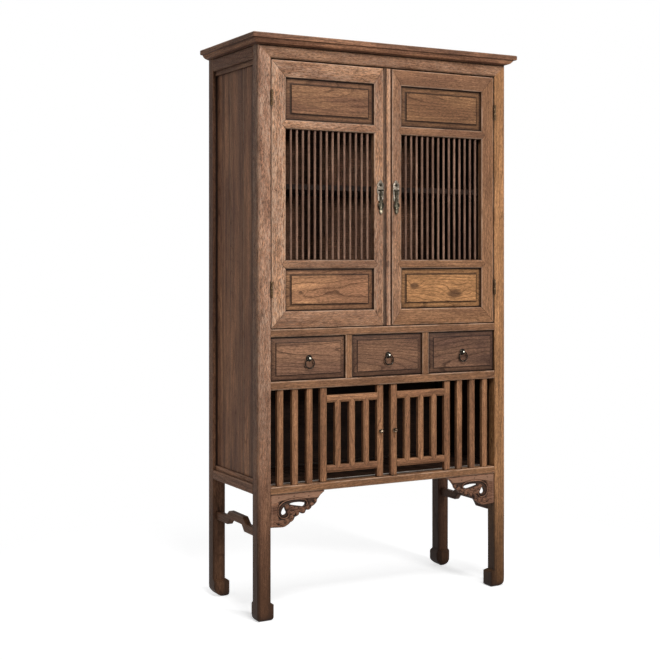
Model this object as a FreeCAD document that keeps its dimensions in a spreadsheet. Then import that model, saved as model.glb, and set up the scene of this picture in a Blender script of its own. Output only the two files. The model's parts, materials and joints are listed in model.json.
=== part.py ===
import FreeCAD, Part
import math
import os

import Sketcher

# Driving sizes in millimetres. Shares and counts are plain numbers further down.
SIZES = {
    # The whole cabinet
    "body_width": 980,
    "body_depth": 406,
    "total_height": 1900,
    "cut_overrun": 6,
    # Posts and their horse-hoof feet
    "post_width": 46,
    "post_depth": 42,
    "post_outer_round": 8,
    "post_inner_round": 2,
    "foot_height": 60,
    "foot_flare": 13,
    "foot_shoulder": 9,
    "front_heel_round": 12,
    "back_heel_round": 30,
    "foot_toe_chamfer": 5,
    "foot_inner_round": 7,
    # Rails of the front, seen from the bottom upwards
    "leg_height": 407,
    "bottom_rail_height": 25,
    "lower_opening_height": 314,
    "lower_drawer_rail_height": 28,
    "drawer_opening_height": 144,
    "upper_drawer_rail_height": 26,
    "top_rail_height": 44,
    "rail_depth": 30,
    "rail_round": 5,
    "squared_edge_round": 1,
    "top_rail_round": 9,
    "back_rail_depth": 24,
    "side_rail_depth": 30,
    "side_bottom_rail_height": 32,
    # Cornice
    "cornice_height": 33,
    "cornice_overhang": 31,
    "cornice_member_width": 60,
    "fascia_height": 17,
    "fascia_round": 4,
    "fascia_ledge": 9,
    "ovolo_foot": 6,
    "ovolo_fillet": 2,
    "top_board_thickness": 12,
    "top_board_drop": 5,
    # Closing boards
    "side_board_recess": 16,
    "side_cleat_recess": 9,
    "side_cleat_height": 16,
    "board_thickness": 8,
    "board_joint": 0.5,
    "cupboard_floor_thickness": 12,
    "ceiling_thickness": 10,
    "shelf_level": 1402,
    "shelf_thickness": 18,
    "shelf_setback": 35,
    "batten_width": 40,
    "batten_height": 18,
    "slat_gap": 8,
    "slat_thickness": 10,
    "slat_drop": 4,
    "slat_bearer_width": 24,
    # Hump-backed side stretchers
    "stretcher_level": 267,
    "stretcher_height": 27,
    "stretcher_thickness": 22,
    "stretcher_round": 3,
    "hump_rise": 21,
    "hump_crown_half": 56,
    "hump_slope": 26,
    "hump_under_half": 48,
    "hump_under_slope": 20,
    # Carved spandrels under the front
    "spandrel_length": 198,
    "spandrel_drop": 108,
    "spandrel_thickness": 14,
    "spandrel_setback": 2,
    # Upper doors
    "door_thickness": 24,
    "door_clearance": 2.5,
    "door_edge_gap": 3,
    "door_centre_space": 34,
    "outer_stile_width": 52,
    "inner_stile_width": 37,
    "door_rail_height": 55,
    "middle_rail_height": 29,
    "panel_opening_height": 139,
    "face_crown": 2.5,
    "panel_setback": 4,
    "panel_margin": 23,
    "panel_step": 3,
    "panel_bevel": 4,
    "panel_back_setback": 19,
    "spindle_diameter": 8.5,
    "spindle_setback": 11.5,
    "meeting_gap": 2.5,
    "strip_flange_width": 6,
    "strip_flange_drop": 3,
    "strip_groove_width": 5,
    "strip_groove_drop": 2,
    "strip_bead_round": 6,
    # Butt hinges of the upper doors
    "hinge_inset": 126,
    "hinge_height": 53,
    "hinge_barrel_radius": 3.5,
    "hinge_barrel_gap": 0.3,
    "hinge_leaf_thickness": 1.1,
    "hinge_leaf_depth": 20,
    "hinge_pin_radius": 1.6,
    "hinge_pin_clearance": 0.05,
    "knuckle_gap": 0.3,
    # Drop pulls of the upper doors
    "pull_place": 31,
    "pull_plate_half_width": 13,
    "pull_plate_half_height": 19,
    "pull_plate_thickness": 1.5,
    "pull_plate_level": 1421,
    "pull_pivot_level": 1405,
    "pull_pivot_reach": 4,
    "pull_pin_radius": 1.2,
    "pull_barrel_radius": 2.6,
    "pull_barrel_length": 7,
    "pull_ear_thickness": 1.5,
    "pull_pin_clearance": 0.05,
    "pull_ear_gap": 0.3,
    "pull_drop_length": 81,
    "pull_drop_thickness": 2,
    "pull_rosette_radius": 11.5,
    "pull_rosette_reach": 51,
    "pull_neck_half": 3,
    "pull_shoulder_half": 6.5,
    "pull_waist_half": 4,
    # Drawers
    "divider_width": 26,
    "drawer_gap": 2,
    "drawer_front_thickness": 20,
    "drawer_margin": 18,
    "drawer_step": 1.5,
    "drawer_bevel": 6,
    "drawer_back_gap": 22,
    "drawer_side_thickness": 10,
    "drawer_side_height": 116,
    "drawer_side_gap": 2,
    "drawer_bottom_thickness": 6,
    "drawer_bottom_lift": 6,
    "drawer_runner_gap": 0.3,
    "runner_width": 28,
    "guide_height": 24,
    # Ring pulls of the drawers
    "boss_radius": 11,
    "boss_height": 5,
    "boss_rim": 1,
    "ring_eye_reach": 7,
    "ring_eye_radius": 4.3,
    "ring_eye_bore": 2.8,
    "ring_eye_length": 6,
    "ring_radius": 16.5,
    "ring_wire_radius": 2,
    # Lower barred doors and the bars beside them
    "lower_door_half_gap": 15.4,
    "fixed_bay_width": 186,
    "lower_door_clearance": 2,
    "lower_door_setback": 6,
    "lower_stile_width": 24,
    "lower_rail_height": 24,
    "lower_door_depth": 16,
    "lower_top_horn": 25,
    "lower_bottom_horn": 28,
    "lower_crown": 2,
    "bar_width": 22,
    "bar_point": 11,
    "fixed_bar_inset": 37.8,
    "fixed_bar_pitch": 54,
    "pivot_radius": 5,
    "pivot_length": 8,
    "pivot_clearance": 0.1,
    "knob_level": 588,
    "knob_radius": 7,
    "knob_reach": 17,
    "knob_rose_radius": 5.5,
    "knob_rose_thickness": 1.2,
}

SPINDLE_COUNT = 14
SLAT_COUNT = 7
SIDE_BOARD_COUNT = 3
DRAWER_NAMES = ("left", "middle", "right")
BARS_IN_DOOR = 3
BARS_BESIDE_DOOR = 3

# Where a round corner or bow passes halfway, as a share of its radius
CORNER_SHARE = 1 - math.sqrt(0.5)
# Points nearer to each other than this, in millimetres, are one point
SAME_POINT = 1e-6

document = FreeCAD.newDocument("BookCabinet")
nodes = []


class Length:
    """A length: the formula that ties it to the sheet, and what it comes to in millimetres."""

    def __init__(self, formula, value):
        self.formula = formula
        self.value = value

    def __add__(self, other):
        return Length(f"({self.formula} + {other.formula})", self.value + other.value)

    def __sub__(self, other):
        return Length(f"({self.formula} - {other.formula})", self.value - other.value)

    def __mul__(self, ratio):
        return Length(f"({self.formula} * ({ratio!r}))", self.value * ratio)

    def __truediv__(self, count):
        return Length(f"({self.formula} / {count!r})", self.value / count)

    def __neg__(self):
        return self * -1


class Sizes:
    """The driving sizes, each kept in a cell of the sheet under its own name."""

    def __init__(self, rows):
        sheet = document.addObject("Spreadsheet::Sheet", "Sizes")
        self.rows = rows
        for row, (name, value) in enumerate(rows.items(), start=1):
            sheet.set(f"A{row}", name.replace("_", " "))
            sheet.set(f"B{row}", str(value))
            sheet.setAlias(f"B{row}", name)

    def __getattr__(self, name):
        return Length(f"Sizes.{name}", float(self.rows[name]))


class Outline:
    """A closed outline of lines and arcs; every point is a pair of lengths in its plane."""

    def __init__(self, *corner):
        self.corners = [corner]
        self.vias = []

    def line(self, *corner):
        """Go straight to the next corner."""
        self.vias.append(None)
        self.corners.append(corner)
        return self

    def arc(self, via, corner):
        """Go to the next corner on an arc through a point."""
        self.vias.append(via)
        self.corners.append(corner)
        return self

    def close(self, via=None):
        """Return to the first corner, straight or through a point."""
        self.vias.append(via)
        return self


s = Sizes(SIZES)
ZERO = Length("0", 0.0)

# Levels and faces that several pieces share
front = (s.cornice_overhang - s.body_depth) / 2
back = front + s.body_depth
middle_depth = (front + back) / 2
half_width = s.body_width / 2
post_inner = half_width - s.post_width
post_rear = front + s.post_depth
rail_rear = front + s.rail_depth
back_rail_front = back - s.back_rail_depth
bottom_rail_top = s.leg_height + s.bottom_rail_height
lower_rail_low = bottom_rail_top + s.lower_opening_height
lower_rail_top = lower_rail_low + s.lower_drawer_rail_height
upper_rail_low = lower_rail_top + s.drawer_opening_height
upper_rail_top = upper_rail_low + s.upper_drawer_rail_height
cornice_low = s.total_height - s.cornice_height
top_rail_low = cornice_low - s.top_rail_height
lower_door_outer = post_inner - s.fixed_bay_width
side_board_face = half_width - s.side_board_recess
side_board_inner = side_board_face - s.board_thickness


def bind(thing, **lengths):
    """Tie properties of a document object to the sheet; a double underscore stands for a dot."""
    for path, length in lengths.items():
        thing.setExpression(path.replace("__", "."), length.formula)


def pin_point(index, place, point, pins):
    """Hold a point of a sketch at its two lengths."""
    pins.append((Sketcher.Constraint("DistanceX", -1, 1, index, place, point[0].value), point[0]))
    pins.append((Sketcher.Constraint("DistanceY", -1, 1, index, place, point[1].value), point[1]))


def draw(sketch, outline):
    """Draw an outline in a sketch and tie every point of it to the sheet."""
    starts = [FreeCAD.Vector(along.value, up.value, 0) for along, up in outline.corners]
    count = len(outline.vias)
    links = []
    pins = []
    for index, via in enumerate(outline.vias):
        start, end = starts[index], starts[(index + 1) % count]
        if via is None:
            sketch.addGeometry(Part.LineSegment(start, end))
        else:
            through = FreeCAD.Vector(via[0].value, via[1].value, 0)
            sketch.addGeometry(Part.Arc(start, through, end))
    first = [1 if sketch.getPoint(index, 1).isEqual(starts[index], SAME_POINT) else 2 for index in range(count)]
    for index, via in enumerate(outline.vias):
        following = (index + 1) % count
        links.append(Sketcher.Constraint("Coincident", index, 3 - first[index], following, first[following]))
        pin_point(index, first[index], outline.corners[index], pins)
        if via is not None:
            through = FreeCAD.Vector(via[0].value, via[1].value, 0)
            guide = sketch.addGeometry(Part.Point(through), True)
            pin_point(guide, 1, via, pins)
            links.append(Sketcher.Constraint("PointOnObject", guide, 1, index))
    sketch.addConstraint(links + [constraint for constraint, _ in pins])
    for index, (_, length) in enumerate(pins, start=len(links)):
        sketch.setExpression(f"Constraints[{index}]", length.formula)


def new_sketch(body, name, plane):
    """A sketch lying on one of the body's own origin planes."""
    sketch = body.newObject("Sketcher::SketchObject", name)
    support = [feature for feature in body.Origin.OriginFeatures if feature.Role == plane + "_Plane"][0]
    sketch.AttachmentSupport = [(support, "")]
    sketch.MapMode = "FlatFace"
    return sketch


def prism(name, plane, span, outline, holes=()):
    """A body with the outline drawn in a plane and padded over the span square to it."""
    body = document.addObject("PartDesign::Body", name)
    sketch = new_sketch(body, name + "_outline", plane)
    draw(sketch, outline)
    low, high = span
    # The XZ plane faces -Y, so its pad starts at the far end and comes forward
    offset = -high if plane == "XZ" else low
    bind(sketch, AttachmentOffset__Base__z=offset)
    pad = body.newObject("PartDesign::Pad", name + "_pad")
    pad.Profile = sketch
    bind(pad, Length=high - low)
    for index, hole in enumerate(holes):
        opening = new_sketch(body, f"{name}_hole_{index}", plane)
        draw(opening, hole)
        bind(opening, AttachmentOffset__Base__z=offset)
        pocket = body.newObject("PartDesign::Pocket", f"{name}_pocket_{index}")
        pocket.Profile = opening
        pocket.Type = "ThroughAll"
        pocket.Midplane = True
    return body


def turned(name, centre, level, outline):
    """A body turned about a level axis along Y; the outline runs from radius to depth."""
    body = document.addObject("PartDesign::Body", name)
    sketch = new_sketch(body, name + "_outline", "XY")
    draw(sketch, outline)
    bind(sketch, AttachmentOffset__Base__x=centre, AttachmentOffset__Base__z=level)
    turning = body.newObject("PartDesign::Revolution", name + "_turning")
    turning.Profile = sketch
    turning.ReferenceAxis = (sketch, ["V_Axis"])
    turning.Angle = 360
    return body


def block(name, across, deep, up):
    """A squared piece of wood over three spans."""
    box = document.addObject("Part::Box", name)
    bind(box, Length=across[1] - across[0], Width=deep[1] - deep[0], Height=up[1] - up[0])
    bind(box, Placement__Base__x=across[0], Placement__Base__y=deep[0], Placement__Base__z=up[0])
    return box


def rod(name, axis, start, radius, length):
    """A round rod from its start along X, Y or Z."""
    turns = {
        "X": FreeCAD.Rotation(FreeCAD.Vector(0, 1, 0), 90),
        "Y": FreeCAD.Rotation(FreeCAD.Vector(1, 0, 0), -90),
        "Z": FreeCAD.Rotation(),
    }
    cylinder = document.addObject("Part::Cylinder", name)
    cylinder.Placement = FreeCAD.Placement(FreeCAD.Vector(), turns[axis])
    bind(cylinder, Radius=radius, Height=length)
    bind(cylinder, Placement__Base__x=start[0], Placement__Base__y=start[1], Placement__Base__z=start[2])
    return cylinder


def common(name, pieces):
    """What the pieces share."""
    shared = document.addObject("Part::MultiCommon", name)
    shared.Shapes = list(pieces)
    return shared


def fused(name, pieces):
    """The pieces made one."""
    whole = document.addObject("Part::MultiFuse", name)
    whole.Shapes = list(pieces)
    whole.Refine = True
    return whole


def without(name, base, tool):
    """The base with the tool cut away."""
    rest = document.addObject("Part::Cut", name)
    rest.Base = base
    rest.Tool = tool
    return rest


def group(name, pieces):
    """Separate solids that belong to one sub-part."""
    together = document.addObject("Part::Compound", name)
    together.Links = list(pieces)
    return together


def mirrored(name, source, normal=FreeCAD.Vector(1, 0, 0)):
    """The source seen in a mirror that stands upright through the middle of the body."""
    image = document.addObject("Part::Mirroring", name)
    image.Source = source
    image.Normal = normal
    bind(image, Base__y=middle_depth)
    return image


def node(piece):
    """Count a finished object as a sub-part; its label names its file."""
    piece.Label = piece.Name
    nodes.append(piece)
    return piece


def rounded(along, up, corners):
    """A rectangle with its corners rounded, from the low corner round through the high one."""
    (low, high), (bottom, top) = along, up
    places = ((low, bottom, 1, 1), (high, bottom, -1, 1), (high, top, -1, -1), (low, top, 1, -1))
    outline = None
    for (x, y, inward_x, inward_y), radius in zip(places, corners):
        near_x, near_y = x + radius * inward_x, y + radius * inward_y
        before, after = ((x, near_y), (near_x, y)) if inward_x == inward_y else ((near_x, y), (x, near_y))
        share = radius * CORNER_SHARE
        via = (x + share * inward_x, y + share * inward_y)
        outline = Outline(*before) if outline is None else outline.line(*before)
        outline.arc(via, after)
    return outline.close()


def crowned(low, high, face, rear, crown, upright):
    """The section of a member with a gently bowed face; upright members run along Z."""
    centre = middle_of(low, high)
    edge = face + crown
    points = [(low, edge), (high, edge), (high, rear), (low, rear)]
    via = (centre, face)
    if not upright:
        points = [point[::-1] for point in points]
        via = via[::-1]
    outline = Outline(*points[0]).arc(via, points[1])
    return outline.line(*points[2]).line(*points[3]).close()


def polygon(points):
    """A closed outline of straight lines."""
    outline = Outline(*points[0])
    for point in points[1:]:
        outline.line(*point)
    return outline.close()


def middle_of(low, high):
    """Halfway between two lengths."""
    return (low + high) / 2


def flats(centre, radius, start, end, count):
    """Points along an arc in a turned outline, between two angles counted from straight outwards."""
    points = []
    for step in range(count + 1):
        angle = math.radians(start + (end - start) * step / count)
        points.append((centre[0] + radius * math.cos(angle), centre[1] + radius * math.sin(angle)))
    return points


def placed(outline, place):
    """The outline turned about so that its outward side points down the axis from the place."""
    def turn(point):
        return (place - point[0], point[1])
    moved = Outline(*turn(outline.corners[0]))
    moved.corners = [turn(corner) for corner in outline.corners]
    moved.vias = [None if via is None else turn(via) for via in outline.vias]
    return moved


def shaped(name, run, section, elevation, face, rear, upright):
    """A member of one section, cut to its outline as seen from the front."""
    bar = prism(name + "_bar", "XY" if upright else "YZ", run, section)
    depth = (face - s.cut_overrun, rear + s.cut_overrun)
    profile = prism(name + "_elevation", "XZ", depth, elevation)
    return common(name, (bar, profile))


# Posts

def foot_elevation(outer, flare_to, inner, heel):
    """The outline of a foot from one side: round at the heel, flared at the toe, with a shoulder."""
    share = heel * CORNER_SHARE
    outline = Outline(outer + heel, ZERO)
    outline.line(flare_to - s.foot_toe_chamfer, ZERO)
    outline.line(flare_to, s.foot_toe_chamfer)
    outline.line(flare_to, s.foot_height - s.foot_shoulder)
    outline.line(inner, s.foot_height)
    outline.line(outer, s.foot_height)
    outline.line(outer, heel)
    return outline.close((outer + share, share))


def plain_post(name, heel):
    """A left post with its foot, standing at the front, before any joint is cut."""
    outer = -half_width
    inner = -post_inner
    rounds = (s.post_outer_round, s.post_inner_round, s.post_inner_round, s.post_inner_round)
    shaft = prism(
        name + "_shaft", "XY", (s.foot_height, cornice_low),
        rounded((outer, inner), (front, post_rear), rounds),
    )
    foot_rounds = (s.post_outer_round, s.foot_inner_round, s.foot_inner_round, s.foot_inner_round)
    toe, rear_toe = inner + s.foot_flare, post_rear + s.foot_flare
    plan = prism(
        name + "_foot_plan", "XY", (ZERO, s.foot_height),
        rounded((outer, toe), (front, rear_toe), foot_rounds),
    )
    from_front = prism(
        name + "_foot_front", "XZ", (front - s.cut_overrun, rear_toe + s.cut_overrun),
        foot_elevation(outer, toe, inner, heel),
    )
    from_side = prism(
        name + "_foot_side", "YZ", (outer - s.cut_overrun, toe + s.cut_overrun),
        foot_elevation(front, rear_toe, post_rear, heel),
    )
    foot = common(name + "_foot", (plan, from_front, from_side))
    return fused(name, (shaft, foot))


def mitre_wedge(name, overrun):
    """The part of the left front corner that belongs to the top rail: a triangle under the cornice."""
    triangle = polygon((
        (-post_inner, top_rail_low),
        (-post_inner + overrun, top_rail_low),
        (-post_inner + overrun, cornice_low + overrun),
        (-half_width - overrun, cornice_low + overrun),
        (-half_width, cornice_low),
    ))
    return prism(name, "XZ", (front - s.cut_overrun, rail_rear), triangle)


def make_posts():
    """Four posts; the front ones are mitred with the top rail on the face."""
    front_post = plain_post("front_post_pattern", s.front_heel_round)
    left = node(without("post_front_left", front_post, mitre_wedge("post_mitre", s.cut_overrun)))
    node(mirrored("post_front_right", left))
    back_post = plain_post("back_post_pattern", s.back_heel_round)
    back_left = node(mirrored("post_back_left", back_post, FreeCAD.Vector(0, 1, 0)))
    node(mirrored("post_back_right", back_left))


# Rails of the carcase

def front_rail(name, low, high):
    """A rail between the front posts with softened edges."""
    square = s.squared_edge_round
    section = rounded((front, rail_rear), (low, high), (s.rail_round, square, square, s.rail_round))
    return prism(name, "YZ", (-post_inner, post_inner), section)


def make_top_rail():
    """The top rail, round-edged and mitred into the posts at both ends."""
    edge = s.squared_edge_round
    section = rounded(
        (front, rail_rear), (top_rail_low, cornice_low),
        (s.top_rail_round, edge, edge, s.top_rail_round),
    )
    bar = prism("top_rail_bar", "YZ", (-half_width, half_width), section)
    elevation = prism(
        "top_rail_elevation", "XZ", (front - s.cut_overrun, rail_rear + s.cut_overrun),
        polygon((
            (-post_inner, top_rail_low), (post_inner, top_rail_low),
            (half_width, cornice_low), (-half_width, cornice_low),
        )),
    )
    corner = s.post_outer_round
    inner = s.post_inner_round
    plan = prism(
        "top_rail_plan", "XY", (top_rail_low, cornice_low),
        rounded((-half_width, half_width), (front, rail_rear + s.cut_overrun), (corner, corner, inner, inner)),
    )
    node(common("top_rail_front", (bar, elevation, plan)))


def pivot_places():
    """The two pivot lines of the lower doors, left and right."""
    centre = lower_door_outer - s.lower_stile_width / 2
    depth = front + s.lower_door_setback + s.lower_door_depth / 2
    return ((-centre, depth), (centre, depth))


def bored_rail(name, low, high, bore_low):
    """A front rail with the two sockets that hold the pivots of the lower doors."""
    rail = front_rail(name + "_rail", low, high)
    depth = s.pivot_length + s.lower_door_clearance
    sockets = []
    for side, (x, y) in zip(("left", "right"), pivot_places()):
        radius = s.pivot_radius + s.pivot_clearance
        sockets.append(rod(f"{name}_socket_{side}", "Z", (x, y, bore_low), radius, depth))
    node(without(name, rail, fused(name + "_sockets", sockets)))


def make_front_rails():
    """The bottom rail and the two rails over and under the drawers."""
    bored_rail("bottom_rail_front", s.leg_height, bottom_rail_top, bottom_rail_top - s.pivot_length)
    reach = lower_rail_low - s.lower_door_clearance
    bored_rail("drawer_rail_lower", lower_rail_low, lower_rail_top, reach)
    node(front_rail("drawer_rail_upper", upper_rail_low, upper_rail_top))
    make_top_rail()


def make_back_rails():
    """Four plain rails between the back posts."""
    levels = (
        (s.leg_height, bottom_rail_top), (lower_rail_low, lower_rail_top),
        (upper_rail_low, upper_rail_top), (top_rail_low, cornice_low),
    )
    rails = []
    for index, (low, high) in enumerate(levels, start=1):
        rails.append(block(f"back_rail_{index}", (-post_inner, post_inner), (back_rail_front, back), (low, high)))
    node(group("back_rails", rails))


def make_side_rails():
    """The top and bottom rail of each end, between the front and the back post."""
    rear = back - s.post_depth
    levels = ((s.leg_height, s.leg_height + s.side_bottom_rail_height), (top_rail_low, cornice_low))
    rails = []
    square = s.squared_edge_round
    for index, (low, high) in enumerate(levels, start=1):
        outer = -half_width
        section = rounded(
            (outer, outer + s.side_rail_depth), (low, high),
            (s.rail_round, square, square, s.rail_round),
        )
        rails.append(prism(f"side_rail_{index}", "XZ", (post_rear, rear), section))
    left = node(group("side_rails_left", rails))
    node(mirrored("side_rails_right", left))


# Cornice and closing boards

def cornice_section():
    """The moulding from the inner edge outwards: ovolo, ledge and round-edged fascia."""
    inner = s.cornice_overhang - s.cornice_member_width
    edge = s.cornice_overhang
    ledge = edge - s.fascia_ledge
    fascia_low = s.total_height - s.fascia_height
    radius = s.fascia_round
    share = radius * CORNER_SHARE
    swell_out = (s.ovolo_foot + ledge) / 2 + s.ovolo_fillet
    swell_up = (cornice_low + s.ovolo_fillet + fascia_low) / 2 - s.ovolo_fillet
    outline = Outline(inner, cornice_low).line(ZERO, cornice_low)
    outline.line(s.ovolo_foot, cornice_low + s.ovolo_fillet)
    outline.arc((swell_out, swell_up), (ledge, fascia_low))
    outline.line(edge - radius, fascia_low)
    outline.arc((edge - share, fascia_low + share), (edge, fascia_low + radius))
    outline.line(edge, s.total_height - radius)
    outline.arc((edge - share, s.total_height - share), (edge - radius, s.total_height))
    outline.line(inner, s.total_height)
    return outline.close()


def make_cornice():
    """A moulded frame mitred at the front corners, with a plain board along the back."""
    outer_x = half_width + s.cornice_overhang
    outer_y = front - s.cornice_overhang
    inner_x = outer_x - s.cornice_member_width
    inner_y = outer_y + s.cornice_member_width
    levels = (cornice_low, s.total_height)
    section = cornice_section()
    front_bar = prism("cornice_front_bar", "YZ", (-outer_x, outer_x), placed(section, front))
    front_plan = prism("cornice_front_plan", "XY", levels, polygon((
        (-outer_x, outer_y), (outer_x, outer_y), (inner_x, inner_y), (-inner_x, inner_y),
    )))
    front_piece = common("cornice_front", (front_bar, front_plan))
    side_bar = prism("cornice_side_bar", "XZ", (outer_y, back), placed(section, -half_width))
    side_plan = prism("cornice_side_plan", "XY", levels, polygon((
        (-outer_x, outer_y), (-inner_x, inner_y), (-inner_x, back), (-outer_x, back),
    )))
    left_piece = common("cornice_left", (side_bar, side_plan))
    right_piece = mirrored("cornice_right", left_piece)
    back_inner = back - s.back_rail_depth
    back_piece = block("cornice_back", (-inner_x, inner_x), (back_inner, back), levels)
    node(group("cornice", (front_piece, left_piece, right_piece, back_piece)))
    top = s.total_height - s.top_board_drop
    node(block("top_board", (-inner_x, inner_x), (inner_y, back_inner), (top - s.top_board_thickness, top)))


def make_side_panel():
    """Upright boards between two cleats, set back from the face of the end rails."""
    rear = back - s.post_depth
    low = s.leg_height + s.side_bottom_rail_height
    high = top_rail_low
    cleat = (-half_width + s.side_cleat_recess, -side_board_inner)
    pieces = [
        block("side_cleat_low", cleat, (post_rear, rear), (low, low + s.side_cleat_height)),
        block("side_cleat_high", cleat, (post_rear, rear), (high - s.side_cleat_height, high)),
    ]
    width = (rear - post_rear - s.board_joint * (SIDE_BOARD_COUNT - 1)) / SIDE_BOARD_COUNT
    for index in range(SIDE_BOARD_COUNT):
        start = post_rear + (width + s.board_joint) * index
        pieces.append(block(
            f"side_board_{index + 1}", (-side_board_face, -side_board_inner), (start, start + width),
            (low + s.side_cleat_height, high - s.side_cleat_height),
        ))
    left = node(group("side_panel_left", pieces))
    node(mirrored("side_panel_right", left))


def make_back_panels():
    """Boards that close the back between its rails."""
    bays = ((bottom_rail_top, lower_rail_low), (lower_rail_top, upper_rail_low), (upper_rail_top, top_rail_low))
    depth = (middle_of(back_rail_front, back), middle_of(back_rail_front, back) + s.board_thickness)
    pieces = []
    for index, bay in enumerate(bays, start=1):
        pieces.append(block(f"back_board_{index}", (-post_inner, post_inner), depth, bay))
    node(group("back_panels", pieces))


def make_inner_boards():
    """The cupboard's floor and shelf, and the ceiling of the lower compartment."""
    across = (-post_inner, post_inner)
    deep = (rail_rear, back_rail_front)
    node(block("cupboard_floor", across, deep, (upper_rail_top - s.cupboard_floor_thickness, upper_rail_top)))
    ceiling_low = lower_rail_low + s.slat_drop
    node(block("compartment_ceiling", across, deep, (ceiling_low, ceiling_low + s.ceiling_thickness)))
    board = block(
        "shelf_board", across, (front + s.shelf_setback, back_rail_front),
        (s.shelf_level, s.shelf_level + s.shelf_thickness),
    )
    rear = back - s.post_depth
    outer = side_board_inner
    inner = outer - s.batten_width
    up = (s.shelf_level - s.batten_height, s.shelf_level)
    left = block("shelf_batten_left", (-outer, -inner), (post_rear, rear), up)
    right = block("shelf_batten_right", (inner, outer), (post_rear, rear), up)
    node(group("cupboard_shelf", (board, left, right)))


def make_floor_slats():
    """The open floor of the lower compartment: slats on three bearers."""
    top = bottom_rail_top - s.slat_drop
    low = top - s.slat_thickness
    room = back_rail_front - rail_rear
    width = (room - s.slat_gap * (SLAT_COUNT + 1)) / SLAT_COUNT
    pieces = []
    for index in range(SLAT_COUNT):
        start = rail_rear + s.slat_gap + (width + s.slat_gap) * index
        pieces.append(block(f"floor_slat_{index + 1}", (-post_inner, post_inner), (start, start + width), (low, top)))
    bearer = s.slat_bearer_width
    centres = (-post_inner + bearer / 2, ZERO, post_inner - bearer / 2)
    for index, centre in enumerate(centres, start=1):
        across = (centre - bearer / 2, centre + bearer / 2)
        pieces.append(block(f"slat_bearer_{index}", across, (rail_rear, back_rail_front), (s.leg_height, low)))
    node(group("floor_slats", pieces))


# Stretchers and spandrels

def make_stretchers():
    """Hump-backed stretchers between the front and back legs of each end."""
    low = s.stretcher_level
    high = low + s.stretcher_height
    rise = s.hump_rise
    rear = back - s.post_depth
    top_foot = s.hump_crown_half + s.hump_slope
    under_foot = s.hump_under_half + s.hump_under_slope
    outline = polygon((
        (post_rear, low), (middle_depth - under_foot, low),
        (middle_depth - s.hump_under_half, low + rise), (middle_depth + s.hump_under_half, low + rise),
        (middle_depth + under_foot, low), (rear, low), (rear, high),
        (middle_depth + top_foot, high), (middle_depth + s.hump_crown_half, high + rise),
        (middle_depth - s.hump_crown_half, high + rise), (middle_depth - top_foot, high), (post_rear, high),
    ))
    centre = middle_of(-half_width, -post_inner)
    half = s.stretcher_thickness / 2
    bar = prism("stretcher_bar", "YZ", (centre - half, centre + half), outline)
    document.recompute()
    edges = []
    for index, edge in enumerate(bar.Shape.Edges, start=1):
        on_face = edge.BoundBox.XLength < SAME_POINT
        between = edge.BoundBox.YLength > SAME_POINT
        if on_face and between:
            edges.append(f"Edge{index}")
    pad = bar.Tip
    softened = bar.newObject("PartDesign::Fillet", "stretcher_soft_edges")
    softened.Base = (pad, edges)
    bind(softened, Radius=s.stretcher_round)
    left = node(group("stretcher_left", (bar,)))
    node(mirrored("stretcher_right", left))


# The lower edge of a spandrel from the post towards the middle: each stop is a share of the
# spandrel's length from the post and a share of its drop below the rail.
SPANDREL_EDGE_SHARES = (
    (0.000, 0.981), (0.202, 1.005),
    (0.303, 0.968), (0.369, 0.875),
    (0.419, 0.833), (0.455, 0.731),
    (0.510, 0.694), (0.545, 0.588),
    (0.606, 0.657), (0.662, 0.546),
    (0.732, 0.546), (0.773, 0.454),
    (0.833, 0.403), (0.864, 0.296),
    (0.909, 0.181), (1.000, 0.037),
)
# The long slot under the nails, and the comma-shaped hole beside the post
SPANDREL_SLOT_SHARES = (
    (0.343, 0.287), (0.485, 0.236), (0.641, 0.306), (0.649, 0.361), (0.566, 0.440), (0.434, 0.375),
)
SPANDREL_HOLE_SHARES = (
    (0.247, 0.306), (0.197, 0.398), (0.172, 0.519), (0.217, 0.662), (0.298, 0.574), (0.265, 0.444),
)


def make_spandrels():
    """Pierced scroll-carved spandrels in the angles between the front legs and the bottom rail."""
    def stop(along_share, down_share):
        along = -post_inner + s.spandrel_length * along_share
        return (along, s.leg_height - s.spandrel_drop * down_share)

    stops = [stop(*shares) for shares in SPANDREL_EDGE_SHARES]
    outline = Outline(-post_inner, s.leg_height).line(*stops[0]).line(*stops[1])
    for via, corner in zip(stops[2::2], stops[3::2]):
        outline.arc(via, corner)
    outline.line(-post_inner + s.spandrel_length, s.leg_height).close()
    slot = [stop(*shares) for shares in SPANDREL_SLOT_SHARES]
    slot_outline = Outline(*slot[0]).arc(slot[1], slot[2]).arc(slot[3], slot[4]).close(slot[5])
    hole = [stop(*shares) for shares in SPANDREL_HOLE_SHARES]
    hole_outline = Outline(*hole[0]).arc(hole[1], hole[2]).arc(hole[3], hole[4]).close(hole[5])
    face = front + s.spandrel_setback
    depth = (face, face + s.spandrel_thickness)
    left = node(prism("spandrel_left", "XZ", depth, outline, (slot_outline, hole_outline)))
    node(mirrored("spandrel_right", left))


# Upper doors

door_low = upper_rail_top + s.door_clearance
door_high = top_rail_low - s.door_clearance
door_outer = -(post_inner - s.door_edge_gap)
door_inner = -s.door_centre_space / 2
door_rear = front + s.door_thickness
field_left = door_outer + s.outer_stile_width
field_right = door_inner - s.inner_stile_width
low_panel = (door_low + s.door_rail_height, door_low + s.door_rail_height + s.panel_opening_height)
high_panel = (door_high - s.door_rail_height - s.panel_opening_height, door_high - s.door_rail_height)
low_middle = (low_panel[1], low_panel[1] + s.middle_rail_height)
high_middle = (high_panel[0] - s.middle_rail_height, high_panel[0])


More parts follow.
